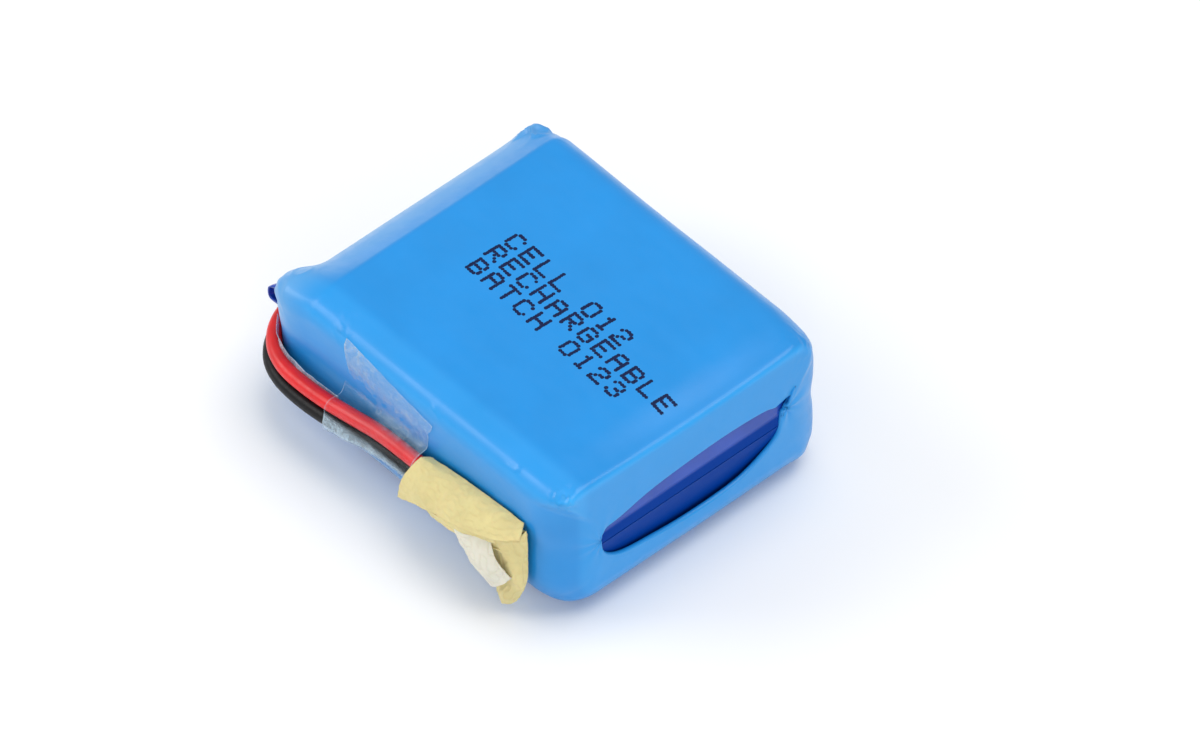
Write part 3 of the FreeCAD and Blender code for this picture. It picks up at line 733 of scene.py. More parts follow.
@dataclass
class Sleeve:
    """The light blue heat-shrink sleeve: a tube of film drawn in over both ends of the cells."""

    film: float = 0.15
    core_inset: float = 4.5          # from the outside to the lines that the surface is cast from
    cast_reach: float = 14.0         # farther than any surface lies from those lines
    halvings: int = 26               # of that reach, to find the surface
    around: int = 460                # points round the tube
    along_body: int = 120
    along_end: int = 74
    cell_edge_x: float = -14.3       # where the cells' cups end and the film starts to slope down
    slope: float = 0.63              # fall per millimetre beyond that edge
    fold_radius: float = 0.12        # softness of the bend along that edge
    near_hold: float = 0.45          # share of the fall that the near corner is spared
    far_hold: float = 0.40           # and the far corner
    roll_start_y: float = 13.3       # where the upper face starts to roll over to the sides
    roll: float = 0.085              # how fast it does, per square millimetre
    front_droop: float = 0.65        # sag of the upper face at the middle of the open end
    corner_droop: float = 0.8        # and at that end's far corner
    waist: float = 0.33              # depth of the dip between the two cells
    waist_reach: float = 2.1         # how far up and down the dip spreads
    under_radius: float = 4.0        # edges round the lower face, on the far side
    near_under_extra: float = 1.4    # added to it on the side of the leads
    outline: list[tuple[float, float]] = field(default_factory=lambda: [
        (11.2, 10.6), (12.4, 12.5), (10.5, 12.1), (8.6, 12.6), (4.3, 12.9), (-0.2, 12.8), (-5.6, 12.3),
        (-9.3, 11.5), (-11.2, 11.2),
        (-12.2, 10.4), (-11.9, 7.9), (-9.8, 6.2), (-5.7, 5.4), (-1.5, 4.9), (2.7, 4.9), (6.2, 5.4),
        (9.2, 6.8), (10.6, 8.0), (10.9, 9.6),
    ])                               # the open end's hole, as (Y, Z)
    outline_middle: tuple[float, float] = (0.0, 9.3)
    outline_reach: tuple[float, float] = (12.0, 3.9)    # half its width and half its height
    lead_hole: tuple[float, float, float, float] = (-2.6, 8.9, 11.6, 3.4)   # middle Y, Z, half sizes
    pinches: tuple[Triple, ...] = (
        (-10.6, -15.2, 0.16), (-10.2, -16.9, 0.12), (3.6, -17.2, 0.13), (14.2, -16.6, 0.09),
    )                                # X, Y and height of the small pinches in the upper face

    def __post_init__(self) -> None:
        """Take the overall size from the CAD sleeve."""
        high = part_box("shrink_sleeve")[1]
        self.half_length = high.x / MM
        self.half_width = high.y / MM
        self.height = high.z / MM
        self.middle = self.height / 2

    def top_height(self, x: np.ndarray, y: np.ndarray) -> np.ndarray:
        """Height of the upper surface, with its rolled sides, sloping lead end and drooping front.

        Args:
            x: positions along the pack.
            y: positions across it.

        Returns:
            The heights above the floor.
        """
        side_roll = self.roll * np.clip(np.abs(y) - self.roll_start_y, 0.0, None) ** 2
        beyond = np.clip(self.cell_edge_x - x, 0.0, None)
        held_up = (self.near_hold * smooth_step(-9.5, -15.5, y)
                   + self.far_hold * smooth_step(13.5, 17.0, y))
        fall = self.slope * (np.hypot(beyond, self.fold_radius) - self.fold_radius) * (1.0 - held_up)
        droop = self.front_droop * smooth_step(16.5, 21.5, x) * (1.0 - np.clip(np.abs(y) / 15.5, 0, 1) ** 2)
        droop += self.corner_droop * smooth_step(15.0, 21.0, x) * smooth_step(12.5, 17.0, y)
        return self.height - side_roll - fall - droop

    def outside(self, points: np.ndarray) -> np.ndarray:
        """Signed distance outside the sleeve's smooth form.

        Args:
            points: any array of points, in millimetres.

        Returns:
            Positive outside, negative inside.
        """
        x, y, z = points[..., 0], points[..., 1], points[..., 2]
        over_top = z - self.top_height(x, y)
        dip = self.waist * np.exp(-((z - self.middle) / self.waist_reach) ** 2)
        past_side = np.abs(y) - self.half_width + dip
        under = -z
        side_radius = 1.3 + 1.9 * smooth_step(-2.0, 6.0, y)
        under_radius = self.under_radius + self.near_under_extra * smooth_step(4.0, -8.0, y)
        girth = round_max(round_max(over_top, past_side, side_radius), under, under_radius)
        upper = smooth_step(-1.5, 1.5, over_top - np.maximum(past_side, under))
        lower = smooth_step(-1.5, 1.5, under - np.maximum(past_side, over_top))
        belly = 0.3 * ((z - self.middle) / self.middle) ** 2
        past_front = x - self.half_length + belly
        far_side = smooth_step(12.0, 16.5, y)
        front_radius = 4.9 - (4.4 - 2.5 * far_side) * upper - 0.9 * lower - 0.9 * far_side
        front = round_max(past_front, girth, front_radius)
        past_back = -x - self.half_length + 0.35 + 0.4 * belly
        back_radius = 4.6 - 1.3 * upper - 0.4 * lower
        return np.where(x > 0, front, round_max(past_back, girth, back_radius))

    def cast(self, origins: np.ndarray, directions: np.ndarray) -> np.ndarray:
        """Follow rays out of the pack to the sleeve's surface.

        Args:
            origins: points inside the sleeve.
            directions: unit directions.

        Returns:
            The points where the rays meet the surface.
        """
        near = np.zeros(origins.shape[:-1])
        far = np.full(origins.shape[:-1], self.cast_reach)
        for _ in range(self.halvings):
            middle = 0.5 * (near + far)
            is_out = self.outside(origins + directions * middle[..., None]) > 0
            far = np.where(is_out, middle, far)
            near = np.where(is_out, near, middle)
        return origins + directions * far[..., None]

    def ring(self) -> tuple[np.ndarray, np.ndarray]:
        """Core points and outward directions round the tube's section.

        Returns:
            Core (Y, Z) points and unit (Y, Z) directions, evenly spread by outside length.
        """
        reach_y = self.half_width - self.core_inset
        reach_z = self.middle - self.core_inset
        quarter = math.pi / 2 * self.core_inset
        lengths = [2 * reach_y, quarter, 2 * reach_z, quarter] * 2
        corners = [(reach_y, reach_z), (reach_y, reach_z), (reach_y, -reach_z), (reach_y, -reach_z),
                   (-reach_y, -reach_z), (-reach_y, -reach_z), (-reach_y, reach_z), (-reach_y, reach_z)]
        starts = np.concatenate([[0.0], np.cumsum(lengths)])
        cores, turns = [], []
        for place in np.linspace(0.0, starts[-1], self.around, endpoint=False):
            leg = int(np.searchsorted(starts, place, side="right")) - 1
            share = (place - starts[leg]) / lengths[leg]
            before = corners[leg - 1]
            here = corners[leg]
            cores.append([before[0] + (here[0] - before[0]) * share if leg % 2 == 0 else here[0],
                          before[1] + (here[1] - before[1]) * share if leg % 2 == 0 else here[1]])
            turns.append(math.pi / 2 - (leg // 2 + (share if leg % 2 else 0.0)) * math.pi / 2)
        cores = np.array(cores)
        cores[:, 1] += self.middle
        return cores, np.stack([np.cos(turns), np.sin(turns)], axis=-1)

    def lip(self, cores: np.ndarray, turns: np.ndarray, front: bool) -> np.ndarray:
        """Where each line of the film ends, on the rim of an end hole.

        Args:
            cores: the ring's core points.
            turns: the ring's directions.
            front: the open end's hole, or else the lead end's.

        Returns:
            A (Y, Z) point on the hole's rim for each point of the ring.
        """
        outer = cores - [0.0, self.middle] + turns * self.core_inset
        bearing = np.arctan2(outer[:, 1] / self.middle, outer[:, 0] / self.half_width)
        if not front:
            middle_y, middle_z, reach_y, reach_z = self.lead_hole
            across, up = np.cos(bearing), np.sin(bearing)
            grow = (np.abs(across) ** 4 + np.abs(up) ** 4) ** -0.25
            return np.stack([middle_y + reach_y * across * grow, middle_z + reach_z * up * grow], axis=-1)
        rim = curve_through(self.outline, 800, closed=True)
        across, up = ((rim - self.outline_middle) / self.outline_reach).T
        rim_bearing = np.arctan2(up, across)
        order = np.argsort(rim_bearing)
        return np.stack([np.interp(bearing, rim_bearing[order], rim[order, axis], period=2 * math.pi)
                         for axis in (0, 1)], axis=-1)

    def end_rows(self, cores: np.ndarray, turns: np.ndarray, front: bool) -> np.ndarray:
        """Rows of the film over one end, from the body to the hole's rim.

        Args:
            cores: the ring's core points.
            turns: the ring's directions.
            front: the open end, or else the lead end.

        Returns:
            Rows by ring by 3.
        """
        side = 1.0 if front else -1.0
        start_x = side * (self.half_length - self.core_inset)
        rim = self.lip(cores, turns, front)
        rows = []
        for share in np.linspace(0.0, 1.0, self.along_end):
            drift = np.clip((share - 0.22) / 0.78, 0.0, 1.0) ** 1.15
            lean = math.pi / 2 * min(1.0, share / 0.5)
            inner = cores * (1 - drift) + rim * drift
            origin = np.column_stack([np.full(len(cores), start_x), inner])
            direction = np.column_stack([np.full(len(cores), side * math.sin(lean)),
                                         turns * math.cos(lean)])
            rows.append(self.cast(origin, direction))
        rows = np.array(rows)
        edge = rows[-1]
        middle = np.array([edge[0, 0], rim[:, 0].mean(), rim[:, 1].mean()])
        for inward, curl in ((0.10, 0.10), (0.16, 0.26), (0.18, 0.44)):
            pull = middle - edge
            pull[:, 0] = 0.0
            pull /= np.linalg.norm(pull, axis=1)[:, None]
            turned = edge + pull * inward
            turned[:, 0] -= side * curl
            rows = np.concatenate([rows, turned[None]])
        return rows

    def creases(self, points: np.ndarray) -> np.ndarray:
        """Height of the film's wrinkles, gathers and small lumps.

        Args:
            points: grid of surface points.

        Returns:
            How far each point stands out along its normal, in millimetres.
        """
        broad, fine = Ripple(3, 14.0), Ripple(5, 2.6)
        gathers, puckers = fine.ridges(points), Ripple(8, 1.2).ridges(points)
        rise = 0.035 * broad.at(points) * smooth_step(0.0, 3.0, points[..., 2])
        spots = [(0.62, (-18.0, 15.2, 16.4), 1.9, 0.25 + gathers),
                 (0.50, (-19.6, -14.8, 15.2), 2.6, 0.6 + 0.3 * gathers),
                 (0.60, (20.4, -16.0, 17.3), 1.0, puckers ** 2 - 0.40),
                 (0.10, (20.6, 14.6, 17.3), 2.0, puckers - 0.35)]
        spots += [(1.6 * height, (x, y, 17.0), 0.8, 0.1 + puckers ** 2) for x, y, height in self.pinches]
        for height, place, reach, form in spots:
            distance = np.linalg.norm(points - np.array(place), axis=-1)
            rise += height * np.exp(-(distance / reach) ** 2) * form
        for y, z, folds, deep in ((-12.2, 9.8, 9.0, 0.07), (11.6, 11.0, 7.0, 0.09)):
            spoke = np.arctan2(points[..., 2] - z, points[..., 1] - y)
            spot = np.exp(-(np.hypot(points[..., 1] - y, points[..., 2] - z) / 2.3) ** 2)
            rise += deep * spot * np.cos(folds * spoke) * (points[..., 0] > 15)
        drawn = smooth_step(-20.2, -21.4, points[..., 0]) * smooth_step(15.5, 13.5, points[..., 2])
        rise += 0.05 * drawn * np.sin(points[..., 1] * 1.9 + 5.0 * broad.at(points)) * fine.at(points)
        return rise * smooth_step(0.0, 0.8, points[..., 2])

    def build(self) -> Piece:
        """Make the sleeve's film and dress it.

        Returns:
            The sleeve.
        """
        cores, turns = self.ring()
        front = self.end_rows(cores, turns, True)
        back = self.end_rows(cores, turns, False)
        reach = self.half_length - self.core_inset
        body = []
        for x in np.linspace(reach, -reach, self.along_body)[1:-1]:
            origin = np.column_stack([np.full(len(cores), x), cores])
            direction = np.column_stack([np.zeros(len(cores)), turns])
            body.append(self.cast(origin, direction))
        points = np.concatenate([front[::-1], np.array(body), back])
        normals = surface_normals(points, closed=True)
        if (normals[len(points) // 2] * points[len(points) // 2]).sum() < 0:
            normals = -normals
        points = points + normals * self.creases(points)[..., None]
        points[..., 2] = np.maximum(points[..., 2], 0.0)
        # The marks carry painted highlights and a painted sheen into the film's colour.
        marks = {"thin_and_highlight": self.thinness(points), "slack_sheen": self.slackness(points)}
        piece = grid_object("sleeve_film", points, closed=True, marks=marks)
        thicken(piece, self.film, -1.0)
        return settle(piece, Finishes.sleeve_film.value, "sleeve_film", "shrink_sleeve")

    def thinness(self, points: np.ndarray) -> np.ndarray:
        """How much paler the film is painted, from 0 to 1: partly film pulled thin by how sharply the surface
        turns there, partly painted highlights along the upper edges and at the near corner, and a painted
        lighter open end face.

        Args:
            points: grid of surface points.

        Returns:
            A value for each point.
        """
        x, y, z = points[..., 0], points[..., 1], points[..., 2]
        # Painted highlight bands along the upper side edges and the front crease, a painted glint at the near
        # corner, and a painted lighter open end face.
        side_edge = np.exp(-(np.hypot(np.abs(y) - 17.1, z - 16.7) / 0.5) ** 2)
        side_band = smooth_step(-13.3, -14.6, y) * smooth_step(12.0, 16.5, z)
        front_edge = np.exp(-(np.hypot(x - 21.3, z - 17.5) / 0.35) ** 2)
        corner = np.exp(-(np.linalg.norm(points - np.array([20.4, -16.0, 17.4]), axis=-1) / 0.9) ** 2)
        front_face = smooth_step(20.8, 21.3, x)
        return np.clip(0.3 * side_edge + 0.25 * side_band + 0.45 * front_edge + 0.3 * front_face
                       + 0.5 * corner, 0.0, 1.0)

    def slackness(self, points: np.ndarray) -> np.ndarray:
        """Share of painted sheen, from 0 to 1, over the upper part of the sloping lead end, where the film
        stands off the cells.
        """
        x, z = points[..., 0], points[..., 2]
        return smooth_step(-14.6, -19.0, x) * smooth_step(9.0, 14.5, z)


@dataclass
class Marking:
    """Three lines of plain dot-matrix marking on the upper face, in generic words."""

    lines: tuple[tuple[str, float, float], ...] = (
        ("CELL 012", -7.4, 3.45), ("RECHARGEABLE", -7.5, 1.10), ("BATCH 0123", -7.4, -1.35))
    pitch: float = 0.335             # between dots
    row_pitch: float = 0.285         # between a character's rows of dots
    advance: float = 2.28            # between characters
    tilt: float = -0.052             # the lines' turn from the long side, in radians
    dot: float = 0.212               # half a dot's width
    lift: float = 0.006
    glyphs: dict[str, str] = field(default_factory=lambda: {
        "A": "01110 10001 10001 11111 10001 10001 10001", "B": "11110 10001 10001 11110 10001 10001 11110",
        "C": "01110 10001 10000 10000 10000 10001 01110", "E": "11111 10000 10000 11110 10000 10000 11111",
        "G": "01110 10001 10000 10111 10001 10001 01110", "H": "10001 10001 10001 11111 10001 10001 10001",
        "L": "10000 10000 10000 10000 10000 10000 11111", "R": "11110 10001 10001 11110 10100 10010 10001",
        "T": "11111 00100 00100 00100 00100 00100 00100", "0": "01110 10001 10001 10001 10001 10001 01110",
        "1": "00100 01100 00100 00100 00100 00100 01110", "2": "01110 10001 00001 00110 01000 10000 11111",
        "3": "01110 10001 00001 00110 00001 10001 01110", "4": "00010 00110 01010 10010 11111 00010 00010",
        "5": "11111 10000 11110 00001 00001 10001 01110", " ": "00000 00000 00000 00000 00000 00000 00000",
    })

    def lit_dots(self, text: str) -> list[tuple[float, float]]:
        """Places of a line's dots, along the line and down from its top.

        Args:
            text: the line's characters.

        Returns:
            (along, down) for each dot, in millimetres.
        """
        return [(place * self.advance + column * self.pitch, row * self.row_pitch)
                for place, letter in enumerate(text)
                for row, bits in enumerate(self.glyphs[letter].split())
                for column, bit in enumerate(bits) if bit == "1"]

    def build(self, sleeve: Sleeve) -> Piece:
        """Print the marking as thin ink dots.

        Args:
            sleeve: whose upper face takes the marking.

        Returns:
            The marking, one mesh of many dots.
        """
        draw = np.random.default_rng(21)
        work = bmesh.new()
        for text, start_x, start_y in self.lines:
            for along, down in self.lit_dots(text):
                x = start_x + along * math.cos(self.tilt) + down * math.sin(self.tilt)
                y = start_y + along * math.sin(self.tilt) - down * math.cos(self.tilt)
                self.add_dot(work, sleeve, x, y, draw)
        mesh = bpy.data.meshes.new("marking")
        work.to_mesh(mesh)
        work.free()
        mesh.shade_smooth()
        return settle(add_object("marking", mesh), MARKING_INK, "sleeve_film")

    def add_dot(self, work: bmesh.types.BMesh, sleeve: Sleeve, x: float, y: float,
                draw: np.random.Generator) -> None:
        """Add one dot of ink, a low dome with an uneven rim.

        Args:
            work: the mesh being made.
            sleeve: the surface under the dot.
            x: the dot's middle along the pack.
            y: the dot's middle across the pack.
            draw: source of its unevenness.
        """
        x, y = x + draw.normal(0, 0.012), y + draw.normal(0, 0.012)
        size = self.dot * draw.uniform(0.90, 1.08)
        rim = []
        for turn in np.arange(10) * (math.pi / 5):
            reach = size * draw.uniform(0.93, 1.07)
            rim.append((x + reach * math.cos(turn), y + reach * math.sin(turn)))
        ground = self.ground(sleeve, np.array(rim + [(x, y)]))
        base = [work.verts.new(Vector((px, py, z + 0.001)) * MM) for (px, py), z in zip(rim, ground)]
        crown = [work.verts.new(Vector((x + (px - x) * 0.8, y + (py - y) * 0.8, z + self.lift)) * MM)
                 for (px, py), z in zip(rim, ground)]
        for index in range(len(rim)):
            after = (index + 1) % len(rim)
            work.faces.new((base[index], base[after], crown[after], crown[index]))
        work.faces.new(crown)

    def ground(self, sleeve: Sleeve, places: np.ndarray) -> np.ndarray:
        """Height of the film under some (X, Y) places.

        Args:
            sleeve: whose film it is.
            places: (X, Y) rows, in millimetres.

        Returns:
            A height for each place.
        """
        heights = sleeve.top_height(places[:, 0], places[:, 1])
        points = np.column_stack([places, heights])
        return heights + sleeve.creases(points[None])[0]


@dataclass
class Leads:
    """The red and black leads, from the board, round the corner and along the long side."""

    diameter: float = 1.6
    red_length: float = 0.0425
    black_length: float = 0.0433
    red_route: list[Triple] = field(default_factory=lambda: [
        (-0.02045, -0.00320, 0.01040), (-0.02048, -0.00580, 0.01030), (-0.02075, -0.00870, 0.01000),
        (-0.02160, -0.01160, 0.00950), (-0.02133, -0.01466, 0.00890), (-0.01966, -0.01714, 0.00845),
        (-0.01685, -0.01850, 0.00830), (-0.01350, -0.01875, 0.00840), (-0.00990, -0.01870, 0.00870),
        (-0.00650, -0.01845, 0.00910), (-0.00300, -0.01822, 0.00960), (0.00060, -0.01822, 0.00970),
        (0.00430, -0.01822, 0.00970), (0.00790, -0.01822, 0.00960),
    ])
    black_route: list[Triple] = field(default_factory=lambda: [
        (-0.02045, -0.00160, 0.00870), (-0.02048, -0.00440, 0.00860), (-0.02054, -0.00729, 0.00840),
        (-0.02104, -0.01009, 0.00806), (-0.02172, -0.01272, 0.00750), (-0.02132, -0.01532, 0.00700),
        (-0.01972, -0.01747, 0.00665), (-0.01727, -0.01867, 0.00650), (-0.01417, -0.01902, 0.00655),
        (-0.01076, -0.01901, 0.00676), (-0.00731, -0.01878, 0.00712), (-0.00390, -0.01837, 0.00756),
        (-0.00050, -0.01822, 0.00790), (0.00310, -0.01822, 0.00800), (0.00670, -0.01822, 0.00795),
    ])

    def centre(self, route: Sequence[Triple], x: float) -> tuple[float, float]:
        """Y and Z of a lead's middle at a place along the long side, in millimetres."""
        side = np.array([point for point in route if point[1] < -0.018]) / MM
        return float(np.interp(x, side[:, 0], side[:, 1])), float(np.interp(x, side[:, 0], side[:, 2]))

    def strand(self, color: str, route: Sequence[Triple]) -> Piece:
        """Make one lead as a round-section curve along its route.

        Args:
            color: the first word of its node's name and its slot's.
            route: control points, in metres.

        Returns:
            The lead.
        """
        name, slot = f"{color}_lead_insulation", f"{color}_insulation"
        curve = bpy.data.curves.new(name, "CURVE")
        curve.dimensions = "3D"
        spline = curve.splines.new("NURBS")
        spline.points.add(len(route) - 1)
        for point, place in zip(spline.points, route):
            point.co = (*place, 1.0)
        spline.order_u = 3
        spline.use_endpoint_u = True
        spline.resolution_u = 10
        curve.bevel_depth = self.diameter / 2 * MM
        curve.bevel_resolution = 6
        curve.use_fill_caps = True
        return settle(add_object(name, curve), Finishes[slot].value, slot, f"{color}_lead")

    def build(self) -> tuple[Piece, Piece]:
        """Make the red lead and the black lead."""
        return self.strand("red", self.red_route), self.strand("black", self.black_route)


@dataclass
class SideTape:
    """Clear tape that holds both leads to the sleeve's long side."""

    start_x: float = -9.3
    end_x: float = 3.5
    thickness: float = 0.05
    stand_off: float = 0.10          # above the film and the leads
    waist: float = 1.0               # how far the tape's edge nearer the lead end draws in
    waist_z: float = 13.6
    slant: float = 0.9               # how far the other edge leans back below its upper corner
    columns: int = 90
    rows: int = 110

    def profile(self, x: float, leads: Leads, sleeve: Sleeve) -> np.ndarray:
        """The tape's section at one place along the pack, over both leads.

        Args:
            x: the place.
            leads: the leads that the tape goes over.
            sleeve: the film that the tape is stuck to.

        Returns:
            (Y, Z) points from the sleeve's upper edge to its lower side.
        """
        (ry, rz), (by, bz) = leads.centre(leads.red_route, x), leads.centre(leads.black_route, x)
        core = sleeve.half_width - sleeve.core_inset
        share = (x - self.start_x) / (self.end_x - self.start_x)
        wall = []
        for height in (17.35 - 2.3 * share, 16.9 - 2.4 * share, 16.2 - 2.2 * share, 14.6 - 1.0 * share,
                       rz + 1.6, bz - 1.7, bz - 2.5, 4.2, 3.2):
            origin = np.array([[x, -core, min(max(height, 5.0), 13.2)]])
            aim = np.array([[0.0, -sleeve.core_inset, height - origin[0, 2]]])
            wall.append(tuple(sleeve.cast(origin, aim / np.linalg.norm(aim))[0, 1:]))
        knots = wall[:5] + [
            (ry - 0.25, rz + 0.92), (ry - 0.74, rz + 0.52), (ry - 0.90, rz - 0.05),
            ((ry + by) / 2 - 0.86, (rz + bz) / 2), (by - 0.90, bz + 0.05), (by - 0.80, bz - 0.42),
            (by - 0.42, bz - 0.84)] + wall[5:]
        return curve_through(knots, self.rows)

    def build(self, leads: Leads, sleeve: Sleeve) -> list[Piece]:
        """Make the tape and the narrow strip of it that runs behind the leads' loop.

        Args:
            leads: the leads that the tape goes over.
            sleeve: the film that the tape is stuck to.

        Returns:
            The two pieces.
        """
        draw = Ripple(31, 2.4)
        points = np.zeros((self.columns, self.rows, 3))
        for column, share in enumerate(np.linspace(0.0, 1.0, self.columns)):
            x = self.start_x + (self.end_x - self.start_x) * share
            points[column, :, 0] = x
            points[column, :, 1:] = self.profile(x, leads, sleeve)
        across, down = np.meshgrid(np.linspace(0.0, 1.0, self.columns), np.linspace(0.0, 1.0, self.rows),
                                   indexing="ij")
        waist = self.waist * np.exp(-((points[..., 2] - self.waist_z) / 2.0) ** 2) + 0.1 * draw.at(points)
        lean = self.slant * smooth_step(0.0, 0.35, down) + 0.3 * down
        points[..., 0] += waist * (1.0 - across) - lean * across
        ripple = Ripple(33, 1.3)
        rise = 0.025 * ripple.at(points) + self.stand_off
        points = points + facing_out(points, 1) * rise[..., None]
        ridged = smooth_step(0.25, 0.9, ripple.ridges(points) * 0.6)
        rim = np.zeros(points.shape[:2])
        rim[:1] = rim[-1:] = 1.0
        rim[:, :1] = rim[:, -1:] = 1.0
        # Painted reflection: over the black lead the tape is made more opaque and paler, as if it reflected
        # the light.
        reflection_over_black = smooth_step(8.8, 7.6, points[..., 2]) * smooth_step(5.2, 6.2, points[..., 2])
        over_red = smooth_step(11.2, 10.5, points[..., 2]) * smooth_step(7.8, 8.6, points[..., 2])
        lift = (0.20 + 0.25 * ridged) * (1.0 - over_red) + 0.4 * rim + 0.35 * reflection_over_black
        tape = grid_object("side_tape", points, marks={"lift": np.clip(lift, 0.0, 1.0)})
        thicken(tape, self.thickness, 1.0)
        settle(tape, Finishes.clear_film.value, "clear_film", "clear_tape")
        return [tape, self.strip()]

    def strip(self) -> Piece:
        """The tape's tail behind the leads' loop, stuck to itself and seen nearly edge on.

        Returns:
            The tail.
        """
        upper = curve_through([(-20.6, -15.6, 10.4), (-18.6, -17.4, 10.2), (-15.6, -18.05, 9.7),
                               (-12.2, -18.0, 9.3), (-9.4, -17.9, 9.4)], 60)
        lower = upper + np.array([0.25, 0.05, -1.2])
        rows = np.array([upper + (lower - upper) * share for share in np.linspace(0, 1, 12)])
        rows[..., 1] -= 0.05 * Ripple(37, 1.6).at(rows)
        # The tail is doubled on itself and painted paler as a reflection off it, seen edge on.
        tail = grid_object("side_tape_tail", rows, marks={"lift": np.full(rows.shape[:2], 0.75)})
        thicken(tail, self.thickness, 0.0)
        return settle(tail, Finishes.clear_film.value, "clear_film")


@dataclass
class EndTape:
    """Crumpled paper tape folded round the lead ends, with a cream flap and a hanging lobe."""

    thickness: float = 0.13
    samples: int = 70                # along each side of a sheet

    def sheet(self, name: str, rows: Sequence, finish: Finish, seed: int,
              crumple: float = 0.10) -> Piece:
        """Make one fold of tape from rows of guide points.

        Args:
            name: the piece's name.
            rows: rows of (X, Y, Z) guide points that the sheet passes through.
            finish: the side of the paper that shows.
            seed: fixes the crumpling.
            crumple: height of the crumpling, in millimetres.

        Returns:
            The fold.
        """
        points = curve_across(curve_through(rows, self.samples), self.samples)
        normals = surface_normals(points, closed=False)
        broad, fine = Ripple(seed, 3.2), Ripple(seed + 1, 1.1)
        rise = crumple * (broad.at(points) + 0.8 * (fine.ridges(points) - 0.4))
        points = points + normals * rise[..., None]
        piece = grid_object(name, points, marks={"fold": 0.22 * fine.ridges(points)})
        thicken(piece, self.thickness, 0.0)
        return settle(piece, finish, "crepe_paper")

    def build(self) -> list[Piece]:
        """Make the folds.

        Returns:
            The pieces, the wrap first.
        """
        yellow = Finishes.crepe_paper.value
        wrap = self.sheet("end_tape_wrap", [
            [(3.3, -17.5, 10.7), (2.9, -18.4, 10.9), (2.5, -19.3, 9.9), (2.0, -20.1, 8.0), (1.9, -20.4, 6.2)],
            [(6.6, -17.5, 11.3), (6.5, -18.4, 11.2), (6.4, -19.4, 10.3), (6.4, -20.2, 9.0),
             (6.4, -20.5, 7.8)],
            [(10.3, -17.5, 11.7), (10.3, -18.3, 11.4), (10.3, -19.2, 10.7), (10.3, -20.0, 9.8),
             (10.3, -20.4, 8.8)],
            [(13.8, -17.5, 12.0), (13.9, -18.1, 11.7), (14.0, -18.7, 11.1), (14.2, -19.3, 10.4),
             (14.4, -19.7, 9.7)],
            [(16.4, -17.5, 12.0), (16.6, -17.7, 11.7), (16.8, -18.0, 11.4), (16.9, -18.2, 11.1),
             (17.0, -18.4, 10.7)],
        ], yellow, 41)
        lobe = self.sheet("end_tape_lobe", [
            [(17.0, -17.6, 11.6), (16.6, -18.0, 10.9), (15.6, -18.6, 10.2), (14.5, -19.4, 9.6)],
            [(17.3, -17.7, 9.0), (16.8, -18.4, 8.6), (15.6, -18.7, 8.0), (13.6, -19.2, 7.4)],
            [(17.5, -17.9, 6.0), (17.0, -18.8, 5.6), (15.8, -19.1, 5.0), (14.0, -19.1, 4.6)],
            [(17.0, -18.1, 3.4), (16.5, -18.9, 3.1), (15.6, -19.3, 2.8), (14.2, -19.1, 2.8)],
            [(16.3, -18.3, 1.7), (15.8, -18.8, 1.3), (15.2, -19.1, 1.2), (14.6, -19.1, 1.7)],
        ], yellow, 45, 0.12)
        flap = self.sheet("end_tape_flap", [
            [(9.6, -20.2, 7.8), (11.0, -20.3, 8.3), (12.4, -19.9, 8.7), (13.9, -19.3, 8.6)],
            [(10.8, -20.4, 6.6), (12.2, -20.7, 7.3), (13.6, -20.4, 7.7), (14.9, -19.7, 7.5)],
            [(12.6, -20.3, 5.1), (13.8, -20.6, 5.8), (15.0, -20.3, 6.3), (16.0, -19.6, 6.5)],
            [(14.4, -19.8, 3.2), (15.2, -20.0, 4.0), (16.0, -19.8, 4.8), (16.6, -19.2, 5.6)],
        ], CREAM_PAPER, 51, 0.09)
        under = self.sheet("end_tape_under", [
            [(5.6, -20.3, 7.5), (8.6, -20.35, 8.3), (11.6, -20.0, 9.1), (14.4, -19.4, 9.6)],
            [(6.4, -20.2, 7.0), (9.0, -20.3, 7.7), (11.8, -20.0, 8.5), (14.5, -19.3, 9.0)],
            [(7.4, -20.0, 6.6), (9.6, -20.2, 7.2), (12.0, -19.8, 7.9), (14.3, -19.1, 8.4)],
        ], yellow, 57, 0.08)
        backing = self.sheet("end_tape_backing", [
            [(3.4, -17.42, 10.6), (3.4, -17.42, 7.6), (3.0, -18.6, 6.7), (2.2, -20.0, 6.3)],
            [(10.4, -17.42, 11.2), (10.4, -17.5, 7.4), (10.3, -18.6, 6.8), (10.2, -19.8, 7.6)],
            [(16.9, -17.45, 10.8), (16.6, -17.45, 7.2), (15.8, -18.4, 7.0), (14.8, -19.2, 8.2)],
        ], yellow, 55, 0.05)
        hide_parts("lead_end_tape")
        return [wrap, lobe, flap, under, backing]


